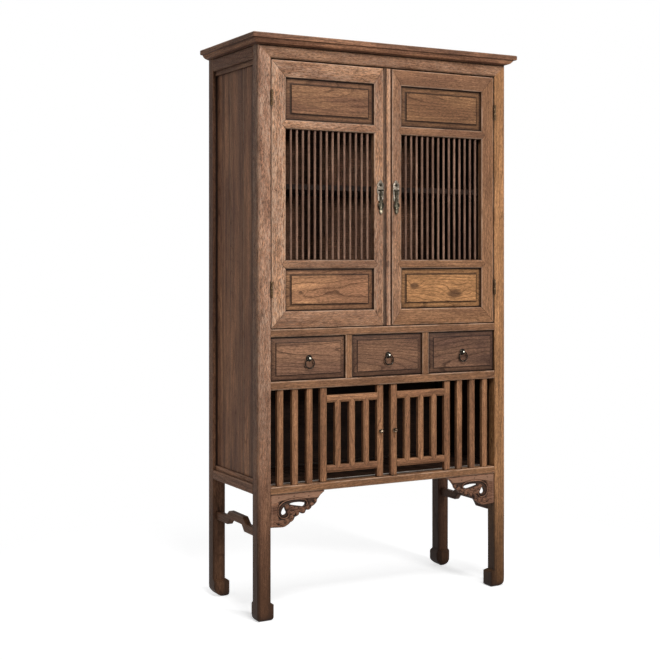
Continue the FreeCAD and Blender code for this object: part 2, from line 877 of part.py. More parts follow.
def door_stile(name, outer, inner):
    """A stile mitred at both ends and notched for the pointed shoulders of the middle rails."""
    point = s.middle_rail_height / 2
    reach = point if inner.value < outer.value else -point
    corners = [(outer, door_low), (outer, door_high), (inner, door_high - s.door_rail_height)]
    for low, high in (high_middle, low_middle):
        corners += [(inner, high), (inner + reach, middle_of(low, high)), (inner, low)]
    corners.append((inner, door_low + s.door_rail_height))
    low, high = (outer, inner) if outer.value < inner.value else (inner, outer)
    section = crowned(low, high, front, door_rear, s.face_crown, True)
    return shaped(name, (door_low, door_high), section, polygon(corners), front, door_rear, True)


def door_rail(name, levels, corners):
    """A rail of the door, cut to the given corners."""
    section = crowned(levels[0], levels[1], front, door_rear, s.face_crown, False)
    return shaped(name, (door_outer, door_inner), section, polygon(corners), front, door_rear, False)


def make_door_frames():
    """Stiles and rails of the upper doors; every corner is mitred and every middle rail pointed."""
    pieces = [
        door_stile("door_outer_stile", door_outer, field_left),
        door_stile("door_inner_stile", door_inner, field_right),
        door_rail("door_bottom_rail", (door_low, low_panel[0]), (
            (door_outer, door_low), (door_inner, door_low),
            (field_right, low_panel[0]), (field_left, low_panel[0]),
        )),
        door_rail("door_top_rail", (high_panel[1], door_high), (
            (door_outer, door_high), (door_inner, door_high),
            (field_right, high_panel[1]), (field_left, high_panel[1]),
        )),
    ]
    point = s.middle_rail_height / 2
    for name, levels in (("door_low_middle_rail", low_middle), ("door_high_middle_rail", high_middle)):
        low, high = levels
        centre = middle_of(low, high)
        pieces.append(door_rail(name, levels, (
            (field_left, low), (field_right, low), (field_right + point, centre),
            (field_right, high), (field_left, high), (field_left - point, centre),
        )))
    left = node(group("left_door_frame", pieces))
    node(mirrored("right_door_frame", left))


def fielded_board(name, across, up, face, margin, step, bevel, rear):
    """A board with a raised field: a low step round the field and a bevel falling to the edge."""
    (left, right), (low, high) = across, up
    field_across = (left + margin, right - margin)
    field_up = (low + margin, high - margin)
    field = block(name + "_field", field_across, (face, face + step), field_up)
    slope = document.addObject("Part::Wedge", name + "_slope")
    bind(
        slope, Xmin=field_across[0], Xmax=field_across[1], Zmin=field_up[0], Zmax=field_up[1],
        X2min=left, X2max=right, Z2min=low, Z2max=high, Ymin=face + step, Ymax=face + step + bevel,
    )
    body = block(name + "_board", across, (face + step + bevel, rear), up)
    return fused(name, (field, slope, body))


def make_door_panels():
    """Raised and fielded panels above and below the lattice."""
    pieces = []
    for name, up in (("door_low_panel", low_panel), ("door_high_panel", high_panel)):
        pieces.append(fielded_board(
            name, (field_left, field_right), up, front + s.panel_setback, s.panel_margin,
            s.panel_step, s.panel_bevel, front + s.panel_back_setback,
        ))
    left = node(group("left_door_panels", pieces))
    node(mirrored("right_door_panels", left))


def make_spindles():
    """The upright lattice: round spindles evenly spaced between the middle rails."""
    low, high = low_middle[1], high_middle[0]
    pitch = (field_right - field_left) / (SPINDLE_COUNT + 1)
    pieces = []
    for index in range(SPINDLE_COUNT):
        start = (field_left + pitch * (index + 1), front + s.spindle_setback, low)
        pieces.append(rod(f"spindle_{index + 1}", "Z", start, s.spindle_diameter / 2, high - low))
    left = node(group("left_door_spindles", pieces))
    node(mirrored("right_door_spindles", left))


# Where the round edges of the strip's bead pass, as shares of their width
BEAD_INSET_SHARE = 0.15
BEAD_DROP_SHARE = 0.3


def make_centre_strip():
    """The strip that covers the meeting of the doors: a flange, a bead and a sunk groove."""
    left, right = door_inner + s.meeting_gap, -door_inner
    flange = left + s.strip_flange_width
    groove = right - s.strip_groove_width
    radius = s.strip_bead_round
    inset, drop = radius * BEAD_INSET_SHARE, radius * BEAD_DROP_SHARE
    outline = Outline(left, door_rear).line(left, front + s.strip_flange_drop)
    outline.line(flange, front + s.strip_flange_drop)
    outline.arc((flange + inset, front + drop), (flange + radius, front))
    outline.line(groove - radius, front)
    outline.arc((groove - inset, front + drop), (groove, front + s.strip_flange_drop))
    outline.line(groove, front + s.strip_groove_drop + s.strip_flange_drop)
    outline.line(right, front + s.strip_groove_drop + s.strip_flange_drop)
    outline.line(right, door_rear)
    node(prism("right_door_centre_strip", "XY", (door_low, door_high), outline.close()))


# Hinges

hinge_x = -(post_inner - s.door_edge_gap / 2)
hinge_y = front - s.hinge_barrel_radius - s.hinge_barrel_gap
hinge_centres = (door_low + s.hinge_inset, door_high - s.hinge_inset)


def hinge_knuckle(name, low, high):
    """One knuckle of the barrel."""
    return rod(name, "Z", (hinge_x, hinge_y, low), s.hinge_barrel_radius, high - low)


def hinge_leaf(name, across, knuckles):
    """A leaf in the gap beside the door, with a tongue out to each of its knuckles."""
    parts = []
    low, high = knuckles[0][0], knuckles[-1][1]
    parts.append(block(name + "_plate", across, (front, front + s.hinge_leaf_depth), leaf_levels(low, high)))
    for index, (start, end) in enumerate(knuckles):
        parts.append(hinge_knuckle(f"{name}_knuckle_{index}", start, end))
        parts.append(block(f"{name}_tongue_{index}", across, (hinge_y, front), (start, end)))
    return parts


def leaf_levels(low, high):
    """Leaves are as tall as the whole hinge, whichever knuckles they carry."""
    centre = middle_of(low, high)
    return (centre - s.hinge_height / 2, centre + s.hinge_height / 2)


def make_hinges():
    """Two butt hinges to each upper door: leaf, end knuckles and pin on the post, the rest on the door."""
    fixed, moving = [], []
    for place, centre in zip(("low", "high"), hinge_centres):
        low, high = leaf_levels(centre, centre)
        third = s.hinge_height / 3
        fixed_across = (-post_inner, -post_inner + s.hinge_leaf_thickness)
        moving_across = (door_outer - s.hinge_leaf_thickness, door_outer)
        name = f"hinge_{place}_fixed"
        parts = hinge_leaf(name, fixed_across, ((low, low + third), (high - third, high)))
        parts.append(rod(name + "_pin", "Z", (hinge_x, hinge_y, low), s.hinge_pin_radius, s.hinge_height))
        fixed.append(fused(name, parts))
        name = f"hinge_{place}_moving"
        inner = (low + third + s.knuckle_gap, high - third - s.knuckle_gap)
        whole = fused(name + "_blank", hinge_leaf(name, moving_across, (inner,)))
        bore = rod(
            name + "_bore", "Z", (hinge_x, hinge_y, low),
            s.hinge_pin_radius + s.hinge_pin_clearance, s.hinge_height,
        )
        moving.append(without(name, whole, bore))
    left_fixed = group("hinge_leaves_left", fixed)
    node(group("fixed_hinge_leaves", (left_fixed, mirrored("hinge_leaves_right", left_fixed))))
    left = node(group("left_door_hinge_leaves", moving))
    node(mirrored("right_door_hinge_leaves", left))


# Pulls of the upper doors

pull_x = -s.pull_place
pull_pivot_y = front - s.pull_plate_thickness - s.pull_pivot_reach
PLATE_NOTCH_SHARE = 0.56


def make_pull_plates():
    """A four-lobed plate with two ears and the pin that the drop hangs from."""
    wide, tall = s.pull_plate_half_width, s.pull_plate_half_height
    level = s.pull_plate_level
    notch_x, notch_z = wide * PLATE_NOTCH_SHARE, tall * PLATE_NOTCH_SHARE
    outline = Outline(pull_x - notch_x, level - notch_z)
    outline.arc((pull_x, level - tall), (pull_x + notch_x, level - notch_z))
    outline.arc((pull_x + wide, level), (pull_x + notch_x, level + notch_z))
    outline.arc((pull_x, level + tall), (pull_x - notch_x, level + notch_z))
    outline.close((pull_x - wide, level))
    plate_face = front - s.pull_plate_thickness
    parts = [prism("pull_plate_sheet", "XZ", (plate_face, front), outline)]
    radius = s.pull_barrel_radius
    reach = s.pull_barrel_length / 2 + s.pull_ear_gap
    up = (s.pull_pivot_level - radius, s.pull_pivot_level + radius)
    for side, start in (("left", pull_x - reach - s.pull_ear_thickness), ("right", pull_x + reach)):
        place = (start, pull_pivot_y, s.pull_pivot_level)
        parts.append(rod(f"pull_ear_{side}", "X", place, radius, s.pull_ear_thickness))
        across = (start, start + s.pull_ear_thickness)
        parts.append(block(f"pull_ear_foot_{side}", across, (pull_pivot_y, plate_face), up))
    pin_start = (pull_x - reach, pull_pivot_y, s.pull_pivot_level)
    parts.append(rod("pull_pin", "X", pin_start, s.pull_pin_radius, reach * 2))
    left = node(fused("left_door_pull_plate", parts))
    node(mirrored("right_door_pull_plate", left))


# Stops of the drop's right-hand edge as shares of its length below the pivot
DROP_SHOULDER_SHARE = 0.13
DROP_WAIST_SHARE = 0.25
DROP_CIRCLE_SHARE = 0.44
DROP_TIP_SHARE = 0.86


def make_pull_drops():
    """The hanging drop: a barrel, a waisted stem, a round rosette and a leaf tip."""
    level = s.pull_pivot_level
    radius = s.pull_rosette_radius
    centre = level - s.pull_rosette_reach
    join = radius * DROP_CIRCLE_SHARE
    rise = radius * math.sqrt(1 - DROP_CIRCLE_SHARE ** 2)
    shoulder = level - s.pull_drop_length * DROP_SHOULDER_SHARE
    waist = level - s.pull_drop_length * DROP_WAIST_SHARE
    tip = level - s.pull_drop_length
    leaf = level - s.pull_drop_length * DROP_TIP_SHARE
    outline = Outline(pull_x - s.pull_neck_half, level)
    outline.line(pull_x - s.pull_neck_half, level - s.pull_barrel_radius)
    outline.line(pull_x - s.pull_shoulder_half, shoulder)
    outline.line(pull_x - s.pull_waist_half, waist)
    outline.line(pull_x - join, centre + rise)
    outline.arc((pull_x - radius, centre), (pull_x - join, centre - rise))
    outline.line(pull_x - s.pull_shoulder_half, leaf)
    outline.line(pull_x, tip)
    outline.line(pull_x + s.pull_shoulder_half, leaf)
    outline.line(pull_x + join, centre - rise)
    outline.arc((pull_x + radius, centre), (pull_x + join, centre + rise))
    outline.line(pull_x + s.pull_waist_half, waist)
    outline.line(pull_x + s.pull_shoulder_half, shoulder)
    outline.line(pull_x + s.pull_neck_half, level - s.pull_barrel_radius)
    outline.line(pull_x + s.pull_neck_half, level)
    half = s.pull_drop_thickness / 2
    sheet = prism("pull_drop_sheet", "XZ", (pull_pivot_y - half, pull_pivot_y + half), outline.close())
    start = (pull_x - s.pull_barrel_length / 2, pull_pivot_y, level)
    barrel = rod("pull_drop_barrel", "X", start, s.pull_barrel_radius, s.pull_barrel_length)
    whole = fused("pull_drop_blank", (sheet, barrel))
    clear = s.pull_pin_radius + s.pull_pin_clearance
    left = node(without(
        "left_door_pull", whole, rod("pull_drop_bore", "X", start, clear, s.pull_barrel_length),
    ))
    node(mirrored("right_door_pull", left))


# Drawers

drawer_bay = (post_inner * 2 - s.divider_width * (len(DRAWER_NAMES) - 1)) / len(DRAWER_NAMES)
drawer_pitch = drawer_bay + s.divider_width
drawer_rear = front + s.drawer_front_thickness
ring_z = middle_of(lower_rail_top, upper_rail_low)


def make_dividers():
    """The two short posts between the drawers."""
    pieces = []
    half = s.divider_width / 2
    edge = s.rail_round
    square = s.squared_edge_round
    for side, centre in (("left", -drawer_pitch / 2), ("right", drawer_pitch / 2)):
        section = rounded((centre - half, centre + half), (front, rail_rear), (edge, edge, square, square))
        pieces.append(prism(f"divider_{side}", "XY", (lower_rail_top, upper_rail_low), section))
    node(group("drawer_dividers", pieces))


def make_runners():
    """Runners under the drawer sides and guides between the drawers, from front to back."""
    low = lower_rail_low + s.slat_drop + s.ceiling_thickness
    deep = (rail_rear, back_rail_front)
    half = s.divider_width / 2
    pieces = []
    count = len(DRAWER_NAMES)
    for index in range(count + 1):
        centre = drawer_pitch * (index - count / 2)
        left = -post_inner if index == 0 else centre - half - s.runner_width
        right = post_inner if index == count else centre + half + s.runner_width
        pieces.append(block(f"drawer_runner_{index + 1}", (left, right), deep, (low, lower_rail_top)))
    for side, centre in (("left", -drawer_pitch / 2), ("right", drawer_pitch / 2)):
        up = (lower_rail_top, lower_rail_top + s.guide_height)
        pieces.append(block(f"drawer_guide_{side}", (centre - half, centre + half), deep, up))
    node(group("drawer_runners", pieces))


def make_drawer(name, centre):
    """A drawer: a fielded front, and a box of two sides, a back and a bottom."""
    half = drawer_bay / 2 - s.drawer_gap
    up = (lower_rail_top + s.drawer_gap, upper_rail_low - s.drawer_gap)
    node(fielded_board(
        f"{name}_drawer_front", (centre - half, centre + half), up, front, s.drawer_margin,
        s.drawer_step, s.drawer_bevel, drawer_rear,
    ))
    outer = drawer_bay / 2 - s.drawer_side_gap
    inner = outer - s.drawer_side_thickness
    low = lower_rail_top + s.drawer_runner_gap
    high = low + s.drawer_side_height
    side_low = up[0]
    rear = back_rail_front - s.drawer_back_gap
    back_start = rear - s.drawer_side_thickness
    floor = low + s.drawer_bottom_lift
    floor_top = floor + s.drawer_bottom_thickness
    pieces = []
    for side, across in (("left", (centre - outer, centre - inner)), ("right", (centre + inner, centre + outer))):
        section = polygon((
            (drawer_rear, side_low), (drawer_rear + s.drawer_gap, low), (rear, low), (rear, high),
            (drawer_rear, high),
        ))
        pieces.append(prism(f"{name}_drawer_side_{side}", "YZ", across, section))
    between = (centre - inner, centre + inner)
    pieces.append(block(f"{name}_drawer_back", between, (back_start, rear), (floor_top, high)))
    pieces.append(block(f"{name}_drawer_bottom", between, (drawer_rear, rear), (floor, floor_top)))
    node(group(f"{name}_drawer_box", pieces))


# Stops of the boss's dome: shares of its radius, and of its rise from the rim
DOME_SHARES = ((0.86, 0.28), (0.6, 0.66), (0.3, 0.92))
RING_SIDE_COUNT = 6


def make_drawer_pull(name, centre):
    """A domed boss with an eye, and the ring that hangs in it."""
    radius = s.boss_radius
    rim = front - s.boss_rim
    points = [(ZERO, front), (radius, front), (radius, rim)]
    for out_share, rise_share in DOME_SHARES:
        points.append((radius * out_share, rim - (s.boss_height - s.boss_rim) * rise_share))
    points.append((ZERO, front - s.boss_height))
    dome = turned(f"{name}_ring_dome", centre, ring_z, polygon(points))
    eye_y = front - s.ring_eye_reach
    start = (centre - s.ring_eye_length / 2, eye_y, ring_z)
    eye = rod(f"{name}_ring_eye", "X", start, s.ring_eye_radius, s.ring_eye_length)
    bore = rod(f"{name}_ring_bore", "X", start, s.ring_eye_bore, s.ring_eye_length)
    blank = fused(f"{name}_ring_blank", (dome, eye))
    node(without(f"{name}_drawer_boss", blank, bore))
    wire = flats((s.ring_radius, eye_y), s.ring_wire_radius, 0, 360, RING_SIDE_COUNT)[:-1]
    node(turned(f"{name}_drawer_ring", centre, ring_z - s.ring_radius, polygon(wire)))


def make_drawers():
    """Three drawers side by side."""
    for index, name in enumerate(DRAWER_NAMES):
        centre = drawer_pitch * (index - 1)
        make_drawer(name, centre)
        make_drawer_pull(name, centre)


# Lower doors

lower_low = bottom_rail_top + s.lower_door_clearance
lower_high = lower_rail_low - s.lower_door_clearance
lower_face = front + s.lower_door_setback
lower_rear = lower_face + s.lower_door_depth
stile_inner = -(s.lower_door_half_gap + s.lower_stile_width / 2)
stile_outer = -(lower_door_outer - s.lower_stile_width / 2)
low_bar_rail = (lower_low + s.lower_bottom_horn, lower_low + s.lower_bottom_horn + s.lower_rail_height)
high_bar_rail = (lower_high - s.lower_top_horn - s.lower_rail_height, lower_high - s.lower_top_horn)


def bar_centres():
    """Where the upright bars of a lower door stand, evenly between its stiles."""
    pitch = (stile_inner - stile_outer) / (BARS_IN_DOOR + 1)
    return [stile_outer + pitch * (index + 1) for index in range(BARS_IN_DOOR)]


def lower_rail(name, levels, notch_side):
    """A rail of a lower door, notched where the pointed bars run into it."""
    low, high = levels
    half = s.bar_width / 2
    left = stile_outer + s.lower_stile_width / 2
    right = stile_inner - s.lower_stile_width / 2
    edge = high if notch_side == "top" else low
    reach = -s.bar_point if notch_side == "top" else s.bar_point
    notches = []
    for centre in bar_centres():
        notches += [(centre - half, edge), (centre, edge + reach), (centre + half, edge)]
    if notch_side == "top":
        corners = [(right, low), (left, low), (left, high)] + notches + [(right, high)]
    else:
        corners = [(right, high), (left, high), (left, low)] + notches + [(right, low)]
    section = crowned(low, high, lower_face, lower_rear, s.lower_crown, False)
    return shaped(name, (left, right), section, polygon(corners), lower_face, lower_rear, False)


def lower_stile(name, centre, pivoted):
    """A stile of a lower door; the outer one ends in round pivots."""
    half = s.lower_stile_width / 2
    section = crowned(centre - half, centre + half, lower_face, lower_rear, s.lower_crown, True)
    stile = prism(name + "_bar" if pivoted else name, "XY", (lower_low, lower_high), section)
    if not pivoted:
        return stile
    depth = middle_of(lower_face, lower_rear)
    start = (centre, depth, lower_low - s.pivot_length)
    length = lower_high - lower_low + s.pivot_length * 2
    pivot = rod(name + "_pivot", "Z", start, s.pivot_radius, length)
    return fused(name, (stile, pivot))


def upright_bar(name, centre, low, high, point):
    """An upright bar, pointed at both ends where it runs into rails."""
    half = s.bar_width / 2
    section = crowned(centre - half, centre + half, lower_face, lower_rear, s.lower_crown, True)
    if point is None:
        return prism(name, "XY", (low, high), section)
    corners = (
        (centre - half, low), (centre, low - point), (centre + half, low),
        (centre + half, high), (centre, high + point), (centre - half, high),
    )
    run = (low - point, high + point)
    return shaped(name, run, section, polygon(corners), lower_face, lower_rear, True)


def make_lower_doors():
    """The barred doors of the lower compartment, with their brass knobs."""
    frame = [
        lower_stile("lower_inner_stile", stile_inner, False),
        lower_stile("lower_outer_stile", stile_outer, True),
        lower_rail("lower_low_rail", low_bar_rail, "top"),
        lower_rail("lower_high_rail", high_bar_rail, "bottom"),
    ]
    left_frame = node(group("left_lower_door_frame", frame))
    node(mirrored("right_lower_door_frame", left_frame))
    bars = []
    for index, centre in enumerate(bar_centres(), start=1):
        bars.append(upright_bar(f"lower_door_bar_{index}", centre, low_bar_rail[1], high_bar_rail[0], s.bar_point))
    left_bars = node(group("left_lower_door_bars", bars))
    node(mirrored("right_lower_door_bars", left_bars))
    make_knobs()


# The knob's neck and tip, in degrees round its ball from straight outwards, and its turned flats
KNOB_NECK_ANGLE = 68
KNOB_TIP_ANGLE = -90
KNOB_SIDE_COUNT = 7


def make_knobs():
    """A turned knob on each meeting stile."""
    radius = s.knob_radius
    tip = lower_face - s.knob_reach
    rose = lower_face - s.knob_rose_thickness
    ball = flats((ZERO, tip + radius), radius, KNOB_NECK_ANGLE, KNOB_TIP_ANGLE, KNOB_SIDE_COUNT)
    stem = ball[0][0]
    points = [(ZERO, lower_face), (s.knob_rose_radius, lower_face), (s.knob_rose_radius, rose), (stem, rose)]
    points += ball[:-1] + [(ZERO, tip)]
    left = node(turned("left_lower_door_knob", stile_inner, s.knob_level, polygon(points)))
    node(mirrored("right_lower_door_knob", left))


def make_fixed_bars():
    """Three fixed bars between each lower door and its post."""
    pieces = []
    for index in range(BARS_BESIDE_DOOR):
        place = post_inner - s.fixed_bar_inset - s.fixed_bar_pitch * index
        for side, centre in (("left", -place), ("right", place)):
            name = f"fixed_bar_{side}_{index + 1}"
            pieces.append(upright_bar(name, centre, bottom_rail_top, lower_rail_low, None))
    node(group("fixed_bars", pieces))


def check_document():
    """Stop if any object of the document failed or any sub-part has no sound shape."""
    for thing in document.Objects:
        if "Invalid" in thing.State or "Error" in thing.State:
            raise RuntimeError(f"{thing.Name} failed: {thing.State}")
    for piece in nodes:
        if piece.Shape.isNull() or not piece.Shape.isValid() or not piece.Shape.Solids:
            raise RuntimeError(f"{piece.Label} has no sound shape")


def export_nodes():
    """Write each sub-part to its own file."""
    os.makedirs("parts", exist_ok=True)
    for piece in nodes:
        piece.Shape.exportStep(f"parts/{piece.Label}.step")
        print(f"{piece.Label}: {len(piece.Shape.Solids)} solids, {piece.Shape.Volume / 1000:.1f} cubic centimetres")


make_posts()
make_front_rails()
make_back_rails()
make_side_rails()
make_cornice()
make_side_panel()
make_back_panels()
make_inner_boards()
make_floor_slats()
make_stretchers()
make_spandrels()
make_door_frames()
make_door_panels()
make_spindles()
make_centre_strip()
make_hinges()
make_pull_plates()
make_pull_drops()
make_dividers()
make_runners()
make_drawers()
make_lower_doors()
make_fixed_bars()
document.recompute()
check_document()
export_nodes()
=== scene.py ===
"""A tall Chinese book cabinet in antiqued elm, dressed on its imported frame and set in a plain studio.

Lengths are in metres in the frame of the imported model: X to the right, Y to the back and Z up, with
the front of the cabinet towards -Y.
"""

import json
import logging
import math
import zlib
from collections.abc import Callable, Sequence
from dataclasses import dataclass, replace
from enum import Enum

import bmesh
import bpy
import numpy as np
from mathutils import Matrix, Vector

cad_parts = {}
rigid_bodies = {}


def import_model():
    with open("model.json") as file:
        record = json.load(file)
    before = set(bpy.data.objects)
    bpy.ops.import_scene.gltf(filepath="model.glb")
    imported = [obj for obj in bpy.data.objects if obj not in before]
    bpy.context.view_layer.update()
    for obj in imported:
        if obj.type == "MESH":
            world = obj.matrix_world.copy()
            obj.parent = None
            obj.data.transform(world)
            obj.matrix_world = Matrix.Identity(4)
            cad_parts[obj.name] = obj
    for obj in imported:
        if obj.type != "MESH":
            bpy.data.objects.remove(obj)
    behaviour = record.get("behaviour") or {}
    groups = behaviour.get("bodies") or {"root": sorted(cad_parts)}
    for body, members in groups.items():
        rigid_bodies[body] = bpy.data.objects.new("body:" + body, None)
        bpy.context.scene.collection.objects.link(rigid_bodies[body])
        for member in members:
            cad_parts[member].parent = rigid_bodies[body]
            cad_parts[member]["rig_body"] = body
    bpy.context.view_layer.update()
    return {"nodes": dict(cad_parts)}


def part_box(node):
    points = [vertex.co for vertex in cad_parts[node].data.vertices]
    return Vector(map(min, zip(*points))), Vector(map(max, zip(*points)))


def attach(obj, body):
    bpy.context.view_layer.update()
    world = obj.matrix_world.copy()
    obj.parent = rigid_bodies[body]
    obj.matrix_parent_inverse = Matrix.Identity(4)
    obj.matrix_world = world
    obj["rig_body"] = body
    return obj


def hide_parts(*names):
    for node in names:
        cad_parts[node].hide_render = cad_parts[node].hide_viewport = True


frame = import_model()
log = logging.getLogger("book_cabinet")

MM = 0.001
Colour = tuple[float, float, float, float]
Point = tuple[float, float]
Socket = bpy.types.NodeSocket

# Corners are welded on a grid of this many places to the metre
GRID = 1e6
SAME_PLACE = 1e-6
# A member's number is one of this many shares of 1
SEEDS = 10007
# The place and size of a knot that no member has
NO_KNOT = (9.0, 9.0, 0.001)


def srgb(red: int, green: int, blue: int) -> Colour:
    """Turn a colour as it is seen on a screen into the linear values a shader works with.

    Args:
        red: Red from 0 to 255.
        green: Green from 0 to 255.
        blue: Blue from 0 to 255.

    Returns:
        The linear colour with a full alpha.
    """
    def linear(value: int) -> float:
        """One channel in linear light."""
        share = value / 255
        return share / 12.92 if share <= 0.04045 else ((share + 0.055) / 1.055) ** 2.4
    return (linear(red), linear(green), linear(blue), 1.0)


class Slot(Enum):
    """The material slots that the record names."""

    FRONT = "front_wood"
    SPINDLES = "spindle_wood"
    CARCASE = "carcase_wood"
    INSIDE = "inner_wood"
    BRASS = "aged_brass"


class Side(Enum):
    """The two halves of the front, with the way each one points along X."""

    LEFT = -1
    RIGHT = 1

    @property
    def word(self) -> str:
        """The side's name as the nodes are named."""
        return self.name.lower()


class Recipe:
    """A material whose nodes are added one after another and joined as they come."""

    def __init__(self, name: str) -> None:
        """Start an empty material.

        Args:
            name: What the material is called.
        """
        self.material = bpy.data.materials.new(name)
        self.material.use_nodes = True
        self.tree = self.material.node_tree
        self.tree.nodes.clear()

    def node(self, kind: str, feeds: dict | None = None, **settings: object) -> bpy.types.Node:
        """Add a node and feed its sockets.

        Args:
            kind: The node's type after the words ShaderNode.
            feeds: A value or another node's socket for each input, by name or place.
            settings: The node's own properties.

        Returns:
            The new node.
        """
        made = self.tree.nodes.new("ShaderNode" + kind)
        for name, value in settings.items():
            setattr(made, name, value)
        for key, feed in (feeds or {}).items():
            if isinstance(feed, Socket):
                self.tree.links.new(feed, made.inputs[key])
            else:
                made.inputs[key].default_value = feed
        return made

    def maths(self, operation: str, first: object, second: object = 0.0, clamp: bool = False) -> Socket:
        """Work out one number from two.

        Args:
            operation: The Math node's operation.
            first: A number or a socket.
            second: A number or a socket.
            clamp: Whether the result is kept between 0 and 1.

        Returns:
            The socket that carries the result.
        """
        return self.node("Math", {0: first, 1: second}, operation=operation, use_clamp=clamp).outputs[0]

    def plus(self, first: object, second: object, clamp: bool = False) -> Socket:
        """Add two numbers."""
        return self.maths("ADD", first, second, clamp)

    def less(self, first: object, second: object) -> Socket:
        """Take the second number from the first."""
        return self.maths("SUBTRACT", first, second)

    def times(self, first: object, second: object, clamp: bool = False) -> Socket:
        """Multiply two numbers."""
        return self.maths("MULTIPLY", first, second, clamp)

    def grey(self, level: Socket) -> Socket:
        """A grey as light as the level."""
        return self.node("CombineColor", {0: level, 1: level, 2: level}).outputs[0]

    def here(self) -> Socket:
        """The place in the frame of the piece, in metres."""
        return self.node("TexCoord").outputs["Object"]

    def read(self, name: str, output: str) -> Socket:
        """What the vertices carry under a name."""
        return self.node("Attribute", attribute_name=name).outputs[output]

    def parts(self, vector: Socket) -> bpy.types.NodeOutputs:
        """The three numbers of a vector."""
        return self.node("SeparateXYZ", {0: vector}).outputs

    def vector(self, operation: str, first: object, second: object) -> Socket:
        """Work out one vector from two.

        Args:
            operation: The Vector Math node's operation.
            first: A vector or a socket.
            second: A vector or a socket.

        Returns:
            The socket that carries the result.
        """
        return self.node("VectorMath", {0: first, 1: second}, operation=operation).outputs[0]

    def noise(self, place: Socket, scale: tuple, detail: float = 2.0,
              roughness: float = 0.5) -> Socket:
        """Soft noise with its own scale along each axis, from 0 to 1.

        Args:
            place: Where the noise is read.
            scale: Features to the metre along each axis.
            detail: How many finer layers lie over it.
            roughness: How strong the finer layers are.

        Returns:
            The socket that carries the noise.
        """
        stretched = self.vector("MULTIPLY", place, scale)
        feeds = {"Vector": stretched, "Scale": 1.0, "Detail": detail, "Roughness": roughness}
        return self.node("TexNoise", feeds).outputs["Fac"]

    def smooth(self, value: object, low: float, high: float) -> Socket:
        """Ease from 0 at the low value to 1 at the high one.

        Args:
            value: The number to ease.
            low: Where the result is 0.
            high: Where the result is 1.

        Returns:
            The socket that carries the result.
        """
        feeds = {"Value": value, "From Min": low, "From Max": high}
        return self.node("MapRange", feeds, interpolation_type="SMOOTHSTEP").outputs[0]

    def fading(self, value: object, low: float, high: float) -> Socket:
        """Ease from 1 at the low value to 0 at the high one."""
        return self.less(1.0, self.smooth(value, low, high))

    def blend(self, share: object, first: object, second: object, way: str = "MIX") -> Socket:
        """Mix two colours.

        Args:
            share: How much of the second colour, from 0 to 1.
            first: The colour underneath.
            second: The colour over it.
            way: How the second lies over the first.

        Returns:
            The socket that carries the colour.
        """
        feeds = {0: share, 6: first, 7: second}
        return self.node("Mix", feeds, data_type="RGBA", blend_type=way).outputs[2]

    def finish(self, shader: Socket) -> bpy.types.Material:
        """Join the surface to the output.

        Args:
            shader: The surface's socket.

        Returns:
            The finished material.
        """
        self.node("OutputMaterial", {"Surface": shader})
        return self.material


def streaky(recipe: Recipe, place: Socket) -> Socket:
    """Long soft streaks that keep a line of glaze and painted shade from looking ruled.

    Args:
        recipe: The material in the making.
        place: The place in the member, along the grain first.

    Returns:
        The socket that carries the streaks, from 0 to 1.
    """
    return recipe.noise(place, (11.0, 30.0, 30.0), 3.0, 0.6)


@dataclass(frozen=True)
class Board:
    """How one member stands out from the others with its finish.

    The edge says how much more old glaze and painted shade than usual lies along its long edges. The
    dryness also carries a painted sheen. The rear is the tone of the face that looks to the back, where
    that differs. A knot is given by its place along and across the member, and by its radius, in
    metres.
    """

    tone: float = 1.0
    gold: float = 0.0
    dry: float = 0.0
    edge: float = 1.0
    rear: float = 0.0
    knot: tuple[float, float, float] = NO_KNOT
    burl: tuple[float, float, float] = NO_KNOT
